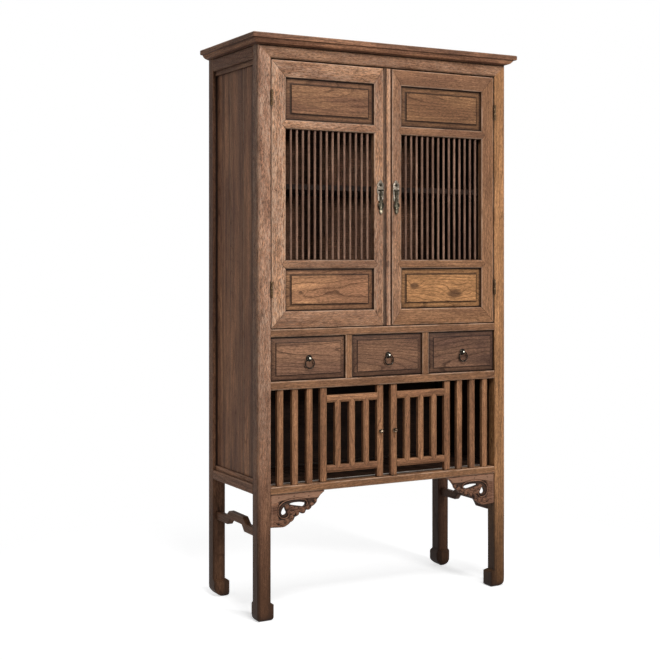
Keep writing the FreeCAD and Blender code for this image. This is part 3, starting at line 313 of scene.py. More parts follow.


# Each member's tone, gold, dryness and painted sheen. The tones are partly the wood's own and partly
# painted light: the drawers and the door frames are toned darker from left to right, as the light falls
# off across the front.
BOARDS: dict[str, Board] = {
    "post_front_left": Board(tone=0.82, dry=0.8),
    "post_front_right": Board(tone=0.86, gold=0.7),
    "post_back_left": Board(tone=0.66),
    "post_back_right": Board(tone=0.62),
    "stretcher_left": Board(tone=0.6),
    "stretcher_right": Board(tone=0.6),
    "top_rail_front": Board(tone=0.6, dry=0.3),
    "cornice": Board(tone=0.66),
    "side_panel_left": Board(tone=0.98),
    "side_rails_left": Board(tone=0.8),
    "left_door_frame.0": Board(tone=0.8, dry=1.0),
    "left_door_frame.1": Board(tone=0.74, dry=0.5),
    "left_door_frame.2": Board(tone=0.72, dry=0.3),
    "left_door_frame.3": Board(tone=0.66, dry=0.5),
    "left_door_frame.4": Board(tone=0.66, dry=0.25, edge=5.0),
    "left_door_frame.5": Board(tone=0.74, dry=0.6, edge=4.0),
    "right_door_frame.0": Board(tone=0.68, gold=0.2),
    "right_door_frame.1": Board(tone=0.68, dry=0.3),
    "right_door_frame.2": Board(tone=0.66, gold=0.25),
    "right_door_frame.3": Board(tone=0.58),
    "right_door_frame.4": Board(tone=0.62, gold=0.2, edge=5.0),
    "right_door_frame.5": Board(tone=0.58, edge=4.0),
    "left_door_panels.0": Board(tone=0.88, gold=0.15, knot=(-0.112, -0.008, 0.006)),
    "left_door_panels.1": Board(tone=0.56),
    "right_door_panels.0": Board(
        tone=0.86, gold=0.8, knot=(-0.113, 0.009, 0.012), burl=(0.055, -0.019, 0.019),
    ),
    "right_door_panels.1": Board(tone=0.52, gold=0.25),
    "left_drawer_front": Board(tone=0.67, gold=0.1),
    "middle_drawer_front": Board(tone=0.53, gold=0.1),
    "right_drawer_front": Board(tone=0.47),
    "drawer_dividers": Board(tone=0.66, gold=0.2),
    "drawer_rail_lower": Board(tone=0.66, gold=0.2),
    "drawer_rail_upper": Board(tone=0.68, gold=0.15),
    "bottom_rail_front": Board(tone=0.7, gold=0.3),
    "right_door_centre_strip": Board(tone=0.9, dry=0.4, knot=(-0.2275, -0.001, 0.0075)),
    # Painted shade and light inside the cupboard: the shelf is toned dark, and back_panels.2 much
    # lighter.
    "cupboard_shelf": Board(tone=0.3),
    "back_panels.0": Board(tone=0.5, rear=2.6),
    "back_panels.1": Board(tone=0.8, rear=2.4),
    "back_panels.2": Board(tone=3.6, rear=2.8),
    # Painted light: the first floor slat is toned much lighter, with a near-white edge.
    "floor_slats.0": Board(tone=2.6, dry=0.6),
}
DEFAULT_BOARD = Board(tone=0.78)


@dataclass(frozen=True)
class Planes:
    """Where the cabinet's faces lie, so that stain, darkening, painted shade and painted sheen end
    where they do on the wood.

    A pair gives the two places between which the stain fades.
    """

    inner_side: Point = (466.5 * MM, 469 * MM)
    inner_front: Point = (-160 * MM, -150 * MM)
    inner_back: Point = (199 * MM, 203 * MM)
    inner_bottom: Point = (409 * MM, 416 * MM)
    inner_top: Point = (1868 * MM, 1872 * MM)
    board_face: Point = (470 * MM, 473 * MM)
    cleat_face: Point = (479 * MM, 482 * MM)
    cleat_top: Point = (430 * MM, 440 * MM)
    board_steps: Point = (-145.5 * MM, 176.5 * MM)
    step_reach: float = 1.5 * MM
    border_end: float = 477 * MM
    leg_middle: float = 468 * MM
    leg_edge: Point = (8 * MM, 22 * MM)
    leg_top: Point = (400 * MM, 430 * MM)
    dry_rise: Point = (250 * MM, 850 * MM)
    mop_reach: Point = (50 * MM, 520 * MM)
    sole: Point = (2 * MM, 34 * MM)


PLANES = Planes()


@dataclass(frozen=True)
class ElmFinish:
    """How the elm of one part is stained, waxed and worn, with the light and shade that are painted on
    it.

    The grain follows each member, because every vertex knows its place in its own member.
    """

    name: str
    late: Colour
    brown: Colour
    pores: Colour
    # The glaze colour is old glaze, and also the colour in which painted shade is laid.
    glaze: Colour
    # The worn colour is rubbed wood, and also the colour of the painted sheen, highlights and the
    # slat's painted light.
    worn: Colour
    golden: Colour = srgb(186, 134, 84)
    ring_spacing: float = 6.5 * MM
    rings: float = 0.42
    wear: float = 0.75
    mottle: float = 1.5
    stipple: float = 0.55
    lines: float = 0.9
    # How much grime and painted shade lies in the recesses.
    grime: float = 0.85
    sheen: float = 0.5
    gloss: float = 0.14
    rounding: float = 1.0 * MM
    # How much glaze and painted shade darkens the long edges.
    edge_glaze: float = 0.14
    edge_width: float = 4.5 * MM
    swell: float = 1.0 * MM
    speckle: float = 0.9
    # The ridge paints a highlight along a bead's crest, under paints light on the faces that look down,
    # and the quirks and borders paint lines of shade.
    ridge: float = 0.0
    under: float = 1.0
    bands: float = 0.0
    quirks: tuple[float, ...] = ()
    borders: tuple[Point, ...] = ()
    worn_width: float = 5 * MM
    dusty_edge: bool = False
    carved: bool = False
    sunk: float = 0.0
    sunk_ends: float = 0.0
    step: float = 3.0 * MM
    rim_shade: float = 0.0
    rim_width: float = 17 * MM
    inside: float = 0.0
    # How much darker the legs grow towards the floor, and the colour they darken to.
    foot_dirt: float = 0.42
    mop_dirt: Colour = srgb(60, 36, 18)
    relief: float = 0.5

    def grain(self, recipe: Recipe, place: Socket, seed: Socket) -> tuple:
        """Growth rings round a pith that lies outside the member and wanders along it.

        Args:
            recipe: The material in the making.
            place: The place in the member, along the grain first.
            seed: The member's own number.

        Returns:
            The sockets of the ring tone, the pore line, the shifted place and the knots' darkness.
        """
        feeds = {"W": recipe.times(seed, 917.0)}
        chance = recipe.node("TexWhiteNoise", feeds, noise_dimensions="1D").outputs["Color"]
        shifted = recipe.vector("ADD", place, recipe.vector("MULTIPLY", chance, (31.0, 17.0, 23.0)))
        dice = recipe.parts(chance)
        axes = recipe.parts(place)
        along = axes[0]
        wander = recipe.noise(shifted, (3.2, 12.0, 12.0), 2.0)
        ripple = recipe.noise(shifted, (14.0, 50.0, 50.0), 3.0)
        reach = []
        for axis, roll, slope in ((axes[1], dice[0], dice[2]), (axes[2], dice[1], dice[0])):
            pith = recipe.times(recipe.less(roll, 0.5), 0.12)
            lean = recipe.times(recipe.less(slope, 0.5), 0.2)
            drift = recipe.times(along, lean)
            away = recipe.less(recipe.less(axis, pith), drift)
            reach.append(recipe.maths("POWER", recipe.maths("ABSOLUTE", away), 2.0))
        distance = recipe.maths("SQRT", recipe.plus(reach[0], reach[1]))
        distance = recipe.plus(distance, recipe.times(wander, 26 * MM))
        distance = recipe.plus(distance, recipe.times(ripple, 5 * MM))
        dark = None
        for name in ("member_knot", "member_burl"):
            heart = recipe.node("SeparateXYZ", {0: recipe.read(name, "Vector")})
            far = recipe.times(recipe.less(along, heart.outputs[0]), 0.55)
            side = recipe.less(axes[1], heart.outputs[1])
            gap = recipe.maths("SQRT", recipe.plus(recipe.times(far, far),
                                                    recipe.times(side, side)))
            share = recipe.maths("DIVIDE", gap, heart.outputs[2])
            swell = recipe.fading(share, 0.0, 2.6)
            distance = recipe.plus(distance, recipe.times(swell, 17 * MM))
            ragged = recipe.plus(share, recipe.times(ripple, 0.5))
            core = recipe.fading(ragged, 0.75, 1.35)
            dark = core if dark is None else recipe.maths("MAXIMUM", dark, core)
        rings = recipe.maths("DIVIDE", distance, self.ring_spacing)
        phase = recipe.maths("FRACT", rings)
        tone = recipe.node("ValToRGB", {0: phase})
        stops = ((0.0, 0.6), (0.06, 0.0), (0.25, 0.45), (0.7, 0.95), (1.0, 0.6))
        elements = tone.color_ramp.elements
        while len(elements) < len(stops):
            elements.new(0.5)
        for element, (position, value) in zip(elements, stops):
            element.position = position
            element.color = (value, value, value, 1.0)
        line = recipe.fading(phase, 0.04, 0.24)
        return tone.outputs["Color"], line, shifted, dark

    def stain(self, recipe: Recipe, grain: tuple, look: tuple) -> tuple:
        """Colour the wood, from the broadest patches to the finest fibres, with the dryness and painted
        sheen of the dry members.

        Args:
            recipe: The material in the making.
            grain: The ring tone, the pore line, the shifted place and the knots' darkness.
            look: The member's tone, gold, and dryness with its painted sheen.

        Returns:
            The sockets of the colour, the open pores and the fibres.
        """
        tone, line, shifted, knots = grain

        def swing(noise: Socket, amount: object) -> Socket:
            """Turn noise into a factor that swings about 1."""
            return recipe.plus(recipe.times(recipe.less(noise, 0.5), amount), 1.0)

        patches = recipe.noise(shifted, (3.5, 14.0, 14.0), 3.0, 0.6)
        broad = recipe.noise(shifted, (9.0, 42.0, 42.0), 3.0, 0.6)
        streaks = recipe.noise(shifted, (10.0, 150.0, 150.0), 3.0, 0.6)
        mottle = recipe.noise(shifted, (70.0, 250.0, 250.0), 3.0, 0.7)
        fibres = recipe.noise(shifted, (36.0, 560.0, 560.0), 3.0, 0.6)
        grit = recipe.smooth(recipe.noise(shifted, (85.0, 330.0, 330.0), 3.0, 0.65), 0.4, 0.6)
        flecks = recipe.smooth(recipe.noise(shifted, (48.0, 430.0, 430.0), 2.0, 0.6), 0.57, 0.66)
        colour = recipe.blend(recipe.smooth(patches, 0.36, 0.64), self.brown, self.late)
        colour = recipe.blend(recipe.times(look[1], 0.85), colour, self.golden)
        soft = recipe.plus(recipe.times(tone, self.rings * 0.5), 1.0 - self.rings * 0.35)
        strength = recipe.times(soft, look[0])
        brushed = recipe.plus(recipe.times(look[2], 1.0, clamp=True), self.stipple)
        lines = recipe.noise(shifted, (5.0, 210.0, 210.0), 3.0, 0.65)
        for noise, amount in (
            (patches, 0.4), (broad, 0.7), (streaks, 0.6), (lines, self.lines), (fibres, 0.9),
            (mottle, recipe.times(brushed, self.mottle)),
            (grit, recipe.times(brushed, self.speckle)),
        ):
            strength = recipe.times(strength, swing(noise, amount))
        if self.bands > 0:
            bands = recipe.smooth(recipe.noise(shifted, (1.6, 62.0, 62.0), 4.0, 0.65), 0.34, 0.62)
            strength = recipe.times(strength, swing(bands, self.bands))
        grey = recipe.grey(strength)
        colour = recipe.blend(1.0, colour, grey, "MULTIPLY")
        broken = recipe.times(line, recipe.smooth(broad, 0.32, 0.58))
        colour = recipe.blend(recipe.times(broken, self.rings), colour, self.pores)
        open_pores = recipe.times(flecks, recipe.plus(line, 0.55, clamp=True))
        colour = recipe.blend(recipe.times(open_pores, 0.7), colour, self.pores)
        colour = recipe.blend(recipe.times(knots, 0.72), colour, self.pores)
        # Dryness with painted sheen: pale grey patches on the dry members, partly a dry finish and
        # partly a painted reflection of the light.
        dry_sheen = recipe.smooth(recipe.noise(shifted, (52.0, 340.0, 340.0), 3.0, 0.7), 0.4, 0.62)
        dry_sheen = recipe.times(dry_sheen, recipe.smooth(broad, 0.3, 0.62))
        colour = recipe.blend(recipe.times(dry_sheen, recipe.times(look[2], 0.8)), colour, self.worn)
        return colour, open_pores, fibres

    def material(self) -> bpy.types.Material:
        """Build the finish.

        Returns:
            The material that every member with this finish shares.
        """
        recipe = Recipe(self.name)
        place = recipe.read("member_place", "Vector")
        half = recipe.read("member_half", "Vector")
        seed = recipe.read("member_seed", "Fac")
        look = recipe.parts(recipe.read("member_look", "Vector"))
        if self.inside > 0:
            height = recipe.parts(recipe.here())[2]
            # The dryness and its painted sheen fade out towards the floor.
            look = (look[0], look[1], recipe.times(look[2], recipe.smooth(height, *PLANES.dry_rise)))
        tone, line, shifted, knots = self.grain(recipe, place, seed)
        colour, open_pores, fibres = self.stain(recipe, (tone, line, shifted, knots), look)

        out = recipe.node("VectorMath", {0: place}, operation="ABSOLUTE").outputs[0]
        gap = recipe.parts(recipe.vector("SUBTRACT", half, out))
        patchy = recipe.plus(recipe.times(streaky(recipe, shifted), 0.8), 0.4)
        colour = self.worn_edges(recipe, colour, gap, shifted, look[2])
        colour = self.glazed_edges(recipe, colour, gap, patchy)
        colour = self.moulding(recipe, colour, place)
        if self.carved:
            colour = self.carving(recipe, colour)
        if self.sunk > 0:
            colour = self.sunk_field(recipe, colour, gap, patchy)
        # Painted shade with old grime: darker where ambient occlusion finds corners, gaps and recesses.
        shelter = recipe.node("AmbientOcclusion", {"Distance": 24 * MM}, samples=6).outputs["AO"]
        grime = recipe.fading(shelter, 0.25, 0.9)
        colour = recipe.blend(recipe.times(grime, self.grime), colour, self.glaze)
        if self.inside > 0:
            colour = self.inner_stain(recipe, self.dirty_feet(recipe, colour))
        return self.waxed(recipe, colour, (line, open_pores, fibres), gap[1])

    def worn_edges(self, recipe: Recipe, colour: Socket, gap: Sequence[Socket], shifted: Socket,
                   dry: Socket) -> Socket:
        """Rub the arrises pale, where both distances to the long faces are small. On the first slat the
        pale arris is painted light.

        Args:
            recipe: The material in the making.
            colour: The colour so far.
            gap: The distances to the member's faces, along the grain first.
            shifted: The place in the wood, by which the rubbing varies.
            dry: How dry the member is, with its painted sheen.

        Returns:
            The colour with worn arrises.
        """
        arris = recipe.maths("MAXIMUM", gap[1], gap[2])
        rub = recipe.smooth(recipe.noise(shifted, (14.0, 60.0, 60.0), 4.0, 0.7), 0.36, 0.6)
        worn = recipe.fading(arris, 0.8 * MM, self.worn_width)
        worn = recipe.times(recipe.times(worn, rub), self.wear)
        if self.dusty_edge:
            worn = recipe.times(worn, dry, clamp=True)
        return recipe.blend(worn, colour, self.worn)

    def glazed_edges(self, recipe: Recipe, colour: Socket, gap: Sequence[Socket],
                     patchy: Socket) -> Socket:
        """Leave old glaze and painted shade along the long edges, darker towards them as on a rounded
        member.

        Args:
            recipe: The material in the making.
            colour: The colour so far.
            gap: The distances to the member's faces, along the grain first.
            patchy: Streaks that keep the glaze from looking ruled.

        Returns:
            The colour with dark edges.
        """
        side = recipe.fading(gap[1], 0.3 * MM, self.edge_width)
        side = recipe.times(recipe.times(side, patchy), self.edge_glaze)
        heavy = recipe.read("member_edge", "Fac")
        return recipe.blend(recipe.times(side, heavy, clamp=True), colour, self.glaze)

    def moulding(self, recipe: Recipe, colour: Socket, place: Socket) -> Socket:
        """Paint glaze and shade in the quirks, paint shadow along the borders, paint a highlight along
        a bead's crest in the worn colour, and paint light on the faces that look down.

        Args:
            recipe: The material in the making.
            colour: The colour so far.
            place: The place in the member, along the grain first.

        Returns:
            The colour with its lines.
        """
        spot = recipe.parts(recipe.here())
        # The quirks are glaze with painted shade; the borders are painted shadow.
        marks = [(2, level, 0.5 * MM, 1.9 * MM) for level in self.quirks]
        marks += [(1, depth, width * 0.66, width) for depth, width in self.borders]
        board = 1.0
        if self.borders:
            board = recipe.maths("LESS_THAN", recipe.maths("ABSOLUTE", spot[0]), PLANES.border_end)
        for axis, level, narrow, wide in marks:
            away = recipe.maths("ABSOLUTE", recipe.less(spot[axis], level))
            dark = recipe.times(recipe.fading(away, narrow, wide), board)
            colour = recipe.blend(recipe.times(dark, 0.66), colour, self.glaze)
        # Painted highlight along a bead's crest, in the worn colour.
        if self.ridge > 0:
            off = recipe.maths("ABSOLUTE", recipe.less(recipe.parts(place)[1], self.ridge))
            crest = recipe.fading(off, 0.5 * MM, 2.2 * MM)
            colour = recipe.blend(recipe.times(crest, 0.55), colour, self.worn)
        # Painted light: the faces that look down are made lighter.
        if self.under != 1.0:
            facing = recipe.parts(recipe.node("NewGeometry").outputs["Normal"])[2]
            below = recipe.smooth(recipe.times(facing, -1.0), 0.1, 0.6)
            painted_underside_light = recipe.grey(recipe.plus(recipe.times(below, self.under - 1.0), 1.0))
            colour = recipe.blend(1.0, colour, painted_underside_light, "MULTIPLY")
        return colour

    def carving(self, recipe: Recipe, colour: Socket) -> Socket:
        """Rub the carving's high places pale, partly as a painted highlight, and leave glaze with
        painted shade in its cuts.

        Args:
            recipe: The material in the making.
            colour: The colour so far.

        Returns:
            The colour of the carved face.
        """
        cut = recipe.read("member_cut", "Fac")
        proud = recipe.fading(cut, 0.03, 0.14)
        colour = recipe.blend(recipe.times(proud, 0.42), colour, self.worn)
        return recipe.blend(recipe.times(recipe.smooth(cut, 0.3, 0.85), 0.93), colour, self.glaze)

    def sunk_field(self, recipe: Recipe, colour: Socket, gap: Sequence[Socket],
                   patchy: Socket) -> Socket:
        """Leave glaze and painted shade on what lies sunk below the member's own face, paint shade
        round its rim, and paint a dark line of shade at its step.

        Args:
            recipe: The material in the making.
            colour: The colour so far.
            gap: The distances to the member's faces, along the grain first.
            patchy: Streaks that keep the glaze from looking ruled.

        Returns:
            The colour with the sunk parts darker.
        """
        border = recipe.maths("MINIMUM", gap[0], gap[1])
        depth = recipe.maths("MINIMUM", border, gap[2])
        ending = recipe.maths("LESS_THAN", gap[0], gap[1])
        heavy = recipe.plus(recipe.times(ending, self.sunk_ends), self.sunk)
        low = recipe.times(recipe.smooth(depth, 0.5 * MM, self.step), heavy, clamp=True)
        colour = recipe.blend(low, colour, self.pores)
        rim = recipe.times(recipe.fading(border, 0.0, self.rim_width), patchy)
        rim = recipe.times(rim, self.rim_shade, clamp=True)
        colour = recipe.blend(rim, colour, self.glaze)
        # Painted shade: a dark line where the field steps down to the sunk margin.
        quirk = recipe.fading(depth, self.step + 0.3 * MM, self.step + 1.7 * MM)
        quirk = recipe.times(quirk, recipe.smooth(depth, 0.4 * MM, 0.9 * MM))
        return recipe.blend(recipe.times(quirk, 0.85), colour, self.glaze)

    def waxed(self, recipe: Recipe, colour: Socket, grain: tuple,
              side_gap: Socket) -> bpy.types.Material:
        """Lay wax over the brushed grain.

        Args:
            recipe: The material in the making.
            colour: The finished colour.
            grain: The pore line, the open pores and the fibres.
            side_gap: The distance to the member's long edge.

        Returns:
            The finished material.
        """
        line, open_pores, fibres = grain
        rough = recipe.plus(recipe.times(line, 0.12), 0.66 - 0.34 * self.sheen)
        rough = recipe.plus(rough, recipe.times(fibres, 0.16), clamp=True)
        height = recipe.less(recipe.times(fibres, 0.6), recipe.times(open_pores, 0.7))
        height = recipe.less(height, recipe.times(line, 0.4))
        bow = recipe.smooth(side_gap, 0.0, 7.0 * MM)
        bow = recipe.node("Bump", {"Strength": 1.0, "Distance": self.swell, "Height": bow}).outputs[0]
        feeds = {"Strength": self.relief, "Distance": 0.7 * MM, "Height": height, "Normal": bow}
        bump = recipe.node("Bump", feeds).outputs[0]
        feeds = {"Base Color": colour, "Roughness": rough, "Normal": bump}
        feeds["Specular IOR Level"] = self.gloss
        surface = recipe.node("BsdfPrincipled", feeds)
        return recipe.finish(surface.outputs[0])

    def dirty_feet(self, recipe: Recipe, colour: Socket) -> Socket:
        """Darken the legs towards the floor and along their side edges there, and paint shade on the
        soles and on the legs' inward faces under the cabinet.

        Args:
            recipe: The material in the making.
            colour: The colour so far.

        Returns:
            The colour with darker legs.
        """
        place = recipe.here()
        height = recipe.parts(place)[2]
        smear = recipe.times(recipe.noise(place, (9.0, 9.0, 5.0), 3.0), 0.5)
        low = recipe.fading(height, *PLANES.mop_reach)
        dirt = recipe.times(low, recipe.plus(smear, self.foot_dirt), clamp=True)
        colour = recipe.blend(dirt, colour, self.mop_dirt)
        side = recipe.parts(place)[0]
        rim = recipe.maths("ABSOLUTE", recipe.less(recipe.maths("ABSOLUTE", side), PLANES.leg_middle))
        rim = recipe.times(recipe.smooth(rim, *PLANES.leg_edge), low)
        colour = recipe.blend(recipe.times(rim, 0.5), colour, self.glaze)
        # Painted shade where the foot meets the floor.
        sole = recipe.fading(height, *PLANES.sole)
        colour = recipe.blend(recipe.times(sole, 0.55), colour, self.glaze)
        # Painted shade on the legs' faces that look in under the cabinet.
        facing = recipe.parts(recipe.node("NewGeometry").outputs["Normal"])[0]
        inward = recipe.times(facing, recipe.maths("SIGN", side))
        inward = recipe.smooth(recipe.times(inward, -1.0), 0.3, 0.8)
        under = recipe.fading(height, *PLANES.leg_top)
        return recipe.blend(recipe.times(recipe.times(inward, under), 0.5), colour, self.glaze)

    def inner_stain(self, recipe: Recipe, colour: Socket) -> Socket:
        """Darken the faces that look into the cabinet, and paint shade on the step faces beside the
        side boards.

        Args:
            recipe: The material in the making.
            colour: The colour of the outside.

        Returns:
            The colour with the inside darkened and the step faces shaded.
        """
        place = recipe.here()
        spot = recipe.parts(place)
        across = recipe.fading(recipe.maths("ABSOLUTE", spot[0]), *PLANES.inner_side)
        behind = recipe.smooth(spot[1], *PLANES.inner_front)
        before = recipe.fading(spot[1], *PLANES.inner_back)
        above = recipe.smooth(spot[2], *PLANES.inner_bottom)
        below = recipe.fading(spot[2], *PLANES.inner_top)
        within = recipe.times(across, behind)
        for share in (before, above, below):
            within = recipe.times(within, share)
        colour = recipe.blend(recipe.times(within, self.inside), colour, self.glaze)
        # Painted shade: a dark line on the step faces where the side boards meet the posts.
        out = recipe.maths("ABSOLUTE", spot[0])
        stepped = recipe.smooth(out, *PLANES.board_face)
        stepped = recipe.times(stepped, recipe.smooth(spot[2], *PLANES.cleat_top))
        stepped = recipe.times(stepped, recipe.fading(out, *PLANES.cleat_face))
        for face in PLANES.board_steps:
            away = recipe.maths("ABSOLUTE", recipe.less(spot[1], face))
            near = recipe.maths("LESS_THAN", away, PLANES.step_reach)
            dark = recipe.times(recipe.times(stepped, near), 0.85)
            colour = recipe.blend(dark, colour, self.glaze)
        return colour


@dataclass(frozen=True)
class BrassFinish:
    """Aged brass: brown patina with rubbed high spots, painted highlights where they are marked, and
    green-black dirt in the hollows.
    """

    name: str
    patina: Colour
    rubbed: Colour
    dirt: Colour
    shine: float = 0.5
    bright: float = 0.5

    def material(self) -> bpy.types.Material:
        """Build the finish.

        Returns:
            The material of the brass.
        """
        recipe = Recipe(self.name)
        place = recipe.here()
        cloud = recipe.noise(place, (160.0, 160.0, 160.0), 4.0, 0.6)
        pits = recipe.noise(place, (700.0, 700.0, 700.0), 3.0, 0.6)
        rubbing = recipe.smooth(cloud, 0.62 - 0.3 * self.bright, 0.8 - 0.3 * self.bright)
        handled = recipe.read("handled", "Fac")
        rubbing = recipe.maths("MAXIMUM", rubbing, handled)
        colour = recipe.blend(rubbing, self.patina, self.rubbed)
        tarnish = recipe.times(handled, -1.0, clamp=True)
        colour = recipe.blend(tarnish, colour, self.dirt)
        shelter = recipe.node("AmbientOcclusion", {"Distance": 3 * MM}, samples=6).outputs["AO"]
        hollow = recipe.fading(shelter, 0.25, 0.85)
        colour = recipe.blend(recipe.times(hollow, 0.85), colour, self.dirt)
        rough = recipe.plus(recipe.times(pits, 0.3), 0.42 - 0.3 * self.shine)
        rough = recipe.plus(rough, recipe.times(hollow, 0.3), clamp=True)
        bump = recipe.node("Bump", {"Strength": 0.35, "Distance": 0.2 * MM, "Height": pits}).outputs[0]
        feeds = {"Base Color": colour, "Metallic": 1.0, "Roughness": rough, "Normal": bump}
        surface = recipe.node("BsdfPrincipled", feeds)
        return recipe.finish(surface.outputs[0])


FRONT_ELM = ElmFinish(
    "front_elm", late=srgb(176, 128, 94), brown=srgb(142, 100, 75), pores=srgb(58, 35, 24),
    glaze=srgb(26, 15, 10), worn=srgb(206, 172, 146), rounding=1.5 * MM,
)
BAR_ELM = ElmFinish(
    "bar_elm", late=srgb(174, 124, 88), brown=srgb(142, 98, 70), pores=srgb(54, 32, 21),
    glaze=srgb(22, 12, 8), worn=srgb(200, 156, 118), wear=0.2, grime=0.97, ring_spacing=8 * MM,
    edge_glaze=0.12, edge_width=3 * MM, swell=2.5 * MM,
)
# The centre strip's bead carries a painted highlight along its crest.
STRIP_ELM = replace(
    FRONT_ELM, name="strip_elm", sunk=0.2, step=2.4 * MM, swell=1 * MM, edge_glaze=0.1,
    ridge=2.8 * MM, grime=0.5,
)
PANEL_ELM = ElmFinish(
    "panel_elm", late=srgb(176, 128, 92), brown=srgb(142, 99, 74), pores=srgb(56, 34, 23),
    glaze=srgb(24, 14, 9), worn=srgb(192, 152, 122), ring_spacing=9 * MM, rings=0.55, wear=0.3,
    grime=0.97, sunk=0.14, sunk_ends=0.16, edge_glaze=0.0, swell=0.0, rim_shade=0.6,
)
DRAWER_ELM = ElmFinish(
    "drawer_elm", late=srgb(162, 119, 92), brown=srgb(128, 92, 75), pores=srgb(46, 28, 20),
    glaze=srgb(22, 13, 10), worn=srgb(178, 140, 114), ring_spacing=10 * MM, rings=0.65, wear=0.35,
    grime=0.97, sunk=0.2, sunk_ends=0.1, step=1.5 * MM, edge_glaze=0.3, swell=0.0, rim_shade=0.55,
)
CARCASE_ELM = ElmFinish(
    "carcase_elm", late=srgb(168, 121, 91), brown=srgb(134, 94, 72), pores=srgb(54, 34, 24),
    glaze=srgb(22, 13, 9), worn=srgb(204, 170, 145), ring_spacing=7 * MM, inside=0.94, wear=0.5,
    bands=0.35,
)
# The cornice's faces that look down carry painted light, and its two quirks carry glaze and painted
# shade.
CORNICE_ELM = replace(
    CARCASE_ELM, name="cornice_elm", under=2.0, grime=0.75, wear=0.3, quirks=(1869 * MM, 1883 * MM),
)
# The side boards carry a painted shadow along their front and back borders.
SIDE_ELM = replace(
    CARCASE_ELM, name="side_elm", bands=0.8, edge_glaze=0.3, mottle=0.8, speckle=0.5,
    borders=((PLANES.board_steps[0], 52 * MM), (PLANES.board_steps[1], 4.5 * MM)),
)
CARVED_ELM = ElmFinish(
    "carved_elm", late=srgb(146, 104, 80), brown=srgb(110, 74, 57), pores=srgb(48, 29, 21),
    glaze=srgb(16, 9, 7), worn=srgb(178, 138, 112), wear=0.0, grime=0.97, sheen=0.6, edge_glaze=0.0,
    swell=0.0, carved=True,
)
SPINDLE_ELM = ElmFinish(
    "spindle_elm", late=srgb(150, 115, 95), brown=srgb(114, 83, 68), pores=srgb(54, 36, 28),
    glaze=srgb(24, 14, 11), worn=srgb(186, 156, 136), ring_spacing=5 * MM, wear=0.2, sheen=0.75,
    grime=0.7, rounding=0.7 * MM, edge_glaze=0.0, swell=0.0,
)
INNER_ELM = ElmFinish(
    "inner_elm", late=srgb(70, 47, 34), brown=srgb(50, 33, 24), pores=srgb(26, 17, 13),
    glaze=srgb(15, 9, 7), worn=srgb(82, 58, 44), wear=0.2, sheen=0.2, edge_glaze=0.0, swell=0.0,
)
# Painted light: the slats' near-white arris stands for the light seen past the first slat.
SLAT_ELM = replace(
    INNER_ELM, name="slat_elm", worn=srgb(244, 236, 224), wear=2.2, dusty_edge=True,
    worn_width=15 * MM,
)
AGED_BRASS = BrassFinish(
    "aged_brass_patina", patina=srgb(46, 42, 34), rubbed=srgb(206, 192, 164), dirt=srgb(10, 10, 9),
    shine=0.45, bright=0.16,
)
PLATE_BRASS = BrassFinish(
    "plate_brass", patina=srgb(92, 84, 74), rubbed=srgb(156, 142, 128), dirt=srgb(26, 25, 17),
    shine=0.35, bright=0.4,
)
RING_BRASS = BrassFinish(
    "ring_brass", patina=srgb(38, 34, 29), rubbed=srgb(226, 220, 204), dirt=srgb(10, 10, 9),
    shine=0.6, bright=0.02,
)
HINGE_BRASS = BrassFinish(
    "hinge_brass", patina=srgb(74, 58, 42), rubbed=srgb(150, 124, 92), dirt=srgb(20, 15, 11),
    shine=0.45, bright=0.35,
)
KNOB_BRASS = BrassFinish(
    "knob_brass", patina=srgb(66, 50, 38), rubbed=srgb(214, 190, 160), dirt=srgb(20, 15, 12),
    shine=0.95, bright=0.4,
)


def places_of(mesh: bpy.types.Mesh) -> np.ndarray:
    """Read where a mesh's vertices are.

    Args:
        mesh: The mesh.

    Returns:
        Their places, three numbers each.
    """
    places = np.zeros(len(mesh.vertices) * 3)
    mesh.vertices.foreach_get("co", places)
    return places.reshape(-1, 3)


@dataclass
class Solid:
    """One solid of a node: its corners and the faces that join them."""

    corners: np.ndarray
    faces: list[list[int]]


def solids_of(node: str) -> list[Solid]:
    """Take a node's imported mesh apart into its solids.

    A node's faces come solid after solid, so a solid ends where every edge so far has met its pair.

    Args:
        node: The name of the node.

    Returns:
        The node's solids in their order.
    """
    mesh = frame["nodes"][node].data
    spots = np.round(places_of(mesh) * GRID).astype(np.int64)
    welded, index_of = np.unique(spots, axis=0, return_inverse=True)
    index_of = index_of.ravel()
    solids: list[Solid] = []
    waiting: set[tuple[int, int]] = set()
    faces: list[list[int]] = []
    for polygon in mesh.polygons:
        ring = [int(index_of[vertex]) for vertex in polygon.vertices]
        faces.append(ring)
        for start, end in zip(ring, ring[1:] + ring[:1]):
            if (end, start) in waiting:
                waiting.remove((end, start))
            else:
                waiting.add((start, end))
        if not waiting:
            solids.append(solid_from(welded, faces))
            faces = []
    if faces:
        solids.append(solid_from(welded, faces))
    return solids


def solid_from(welded: np.ndarray, faces: list[list[int]]) -> Solid:
    """Gather the corners that some faces use.

    Args:
        welded: Every corner of the node, in thousandths of a millimetre.
        faces: The faces of the solid, as places in that list.

    Returns:
        The solid, with its corners in metres.
    """
    used = sorted({corner for ring in faces for corner in ring})
    new_place = {corner: place for place, corner in enumerate(used)}
    corners = welded[used] / GRID
    return Solid(corners, [[new_place[corner] for corner in ring] for ring in faces])


@dataclass(frozen=True)
class WornFoot:
    """How far a foot's bottom edges are rounded over on each side, in metres."""

    left: float = 0.0
    right: float = 0.0
    front: float = 0.0
    back: float = 0.0

    @staticmethod
    def inset(radius: float, height: float) -> float:
        """How far the rounding has taken the side in at a height above the floor."""
        return radius - math.sqrt(max(radius ** 2 - (radius - min(height, radius)) ** 2, 0.0))


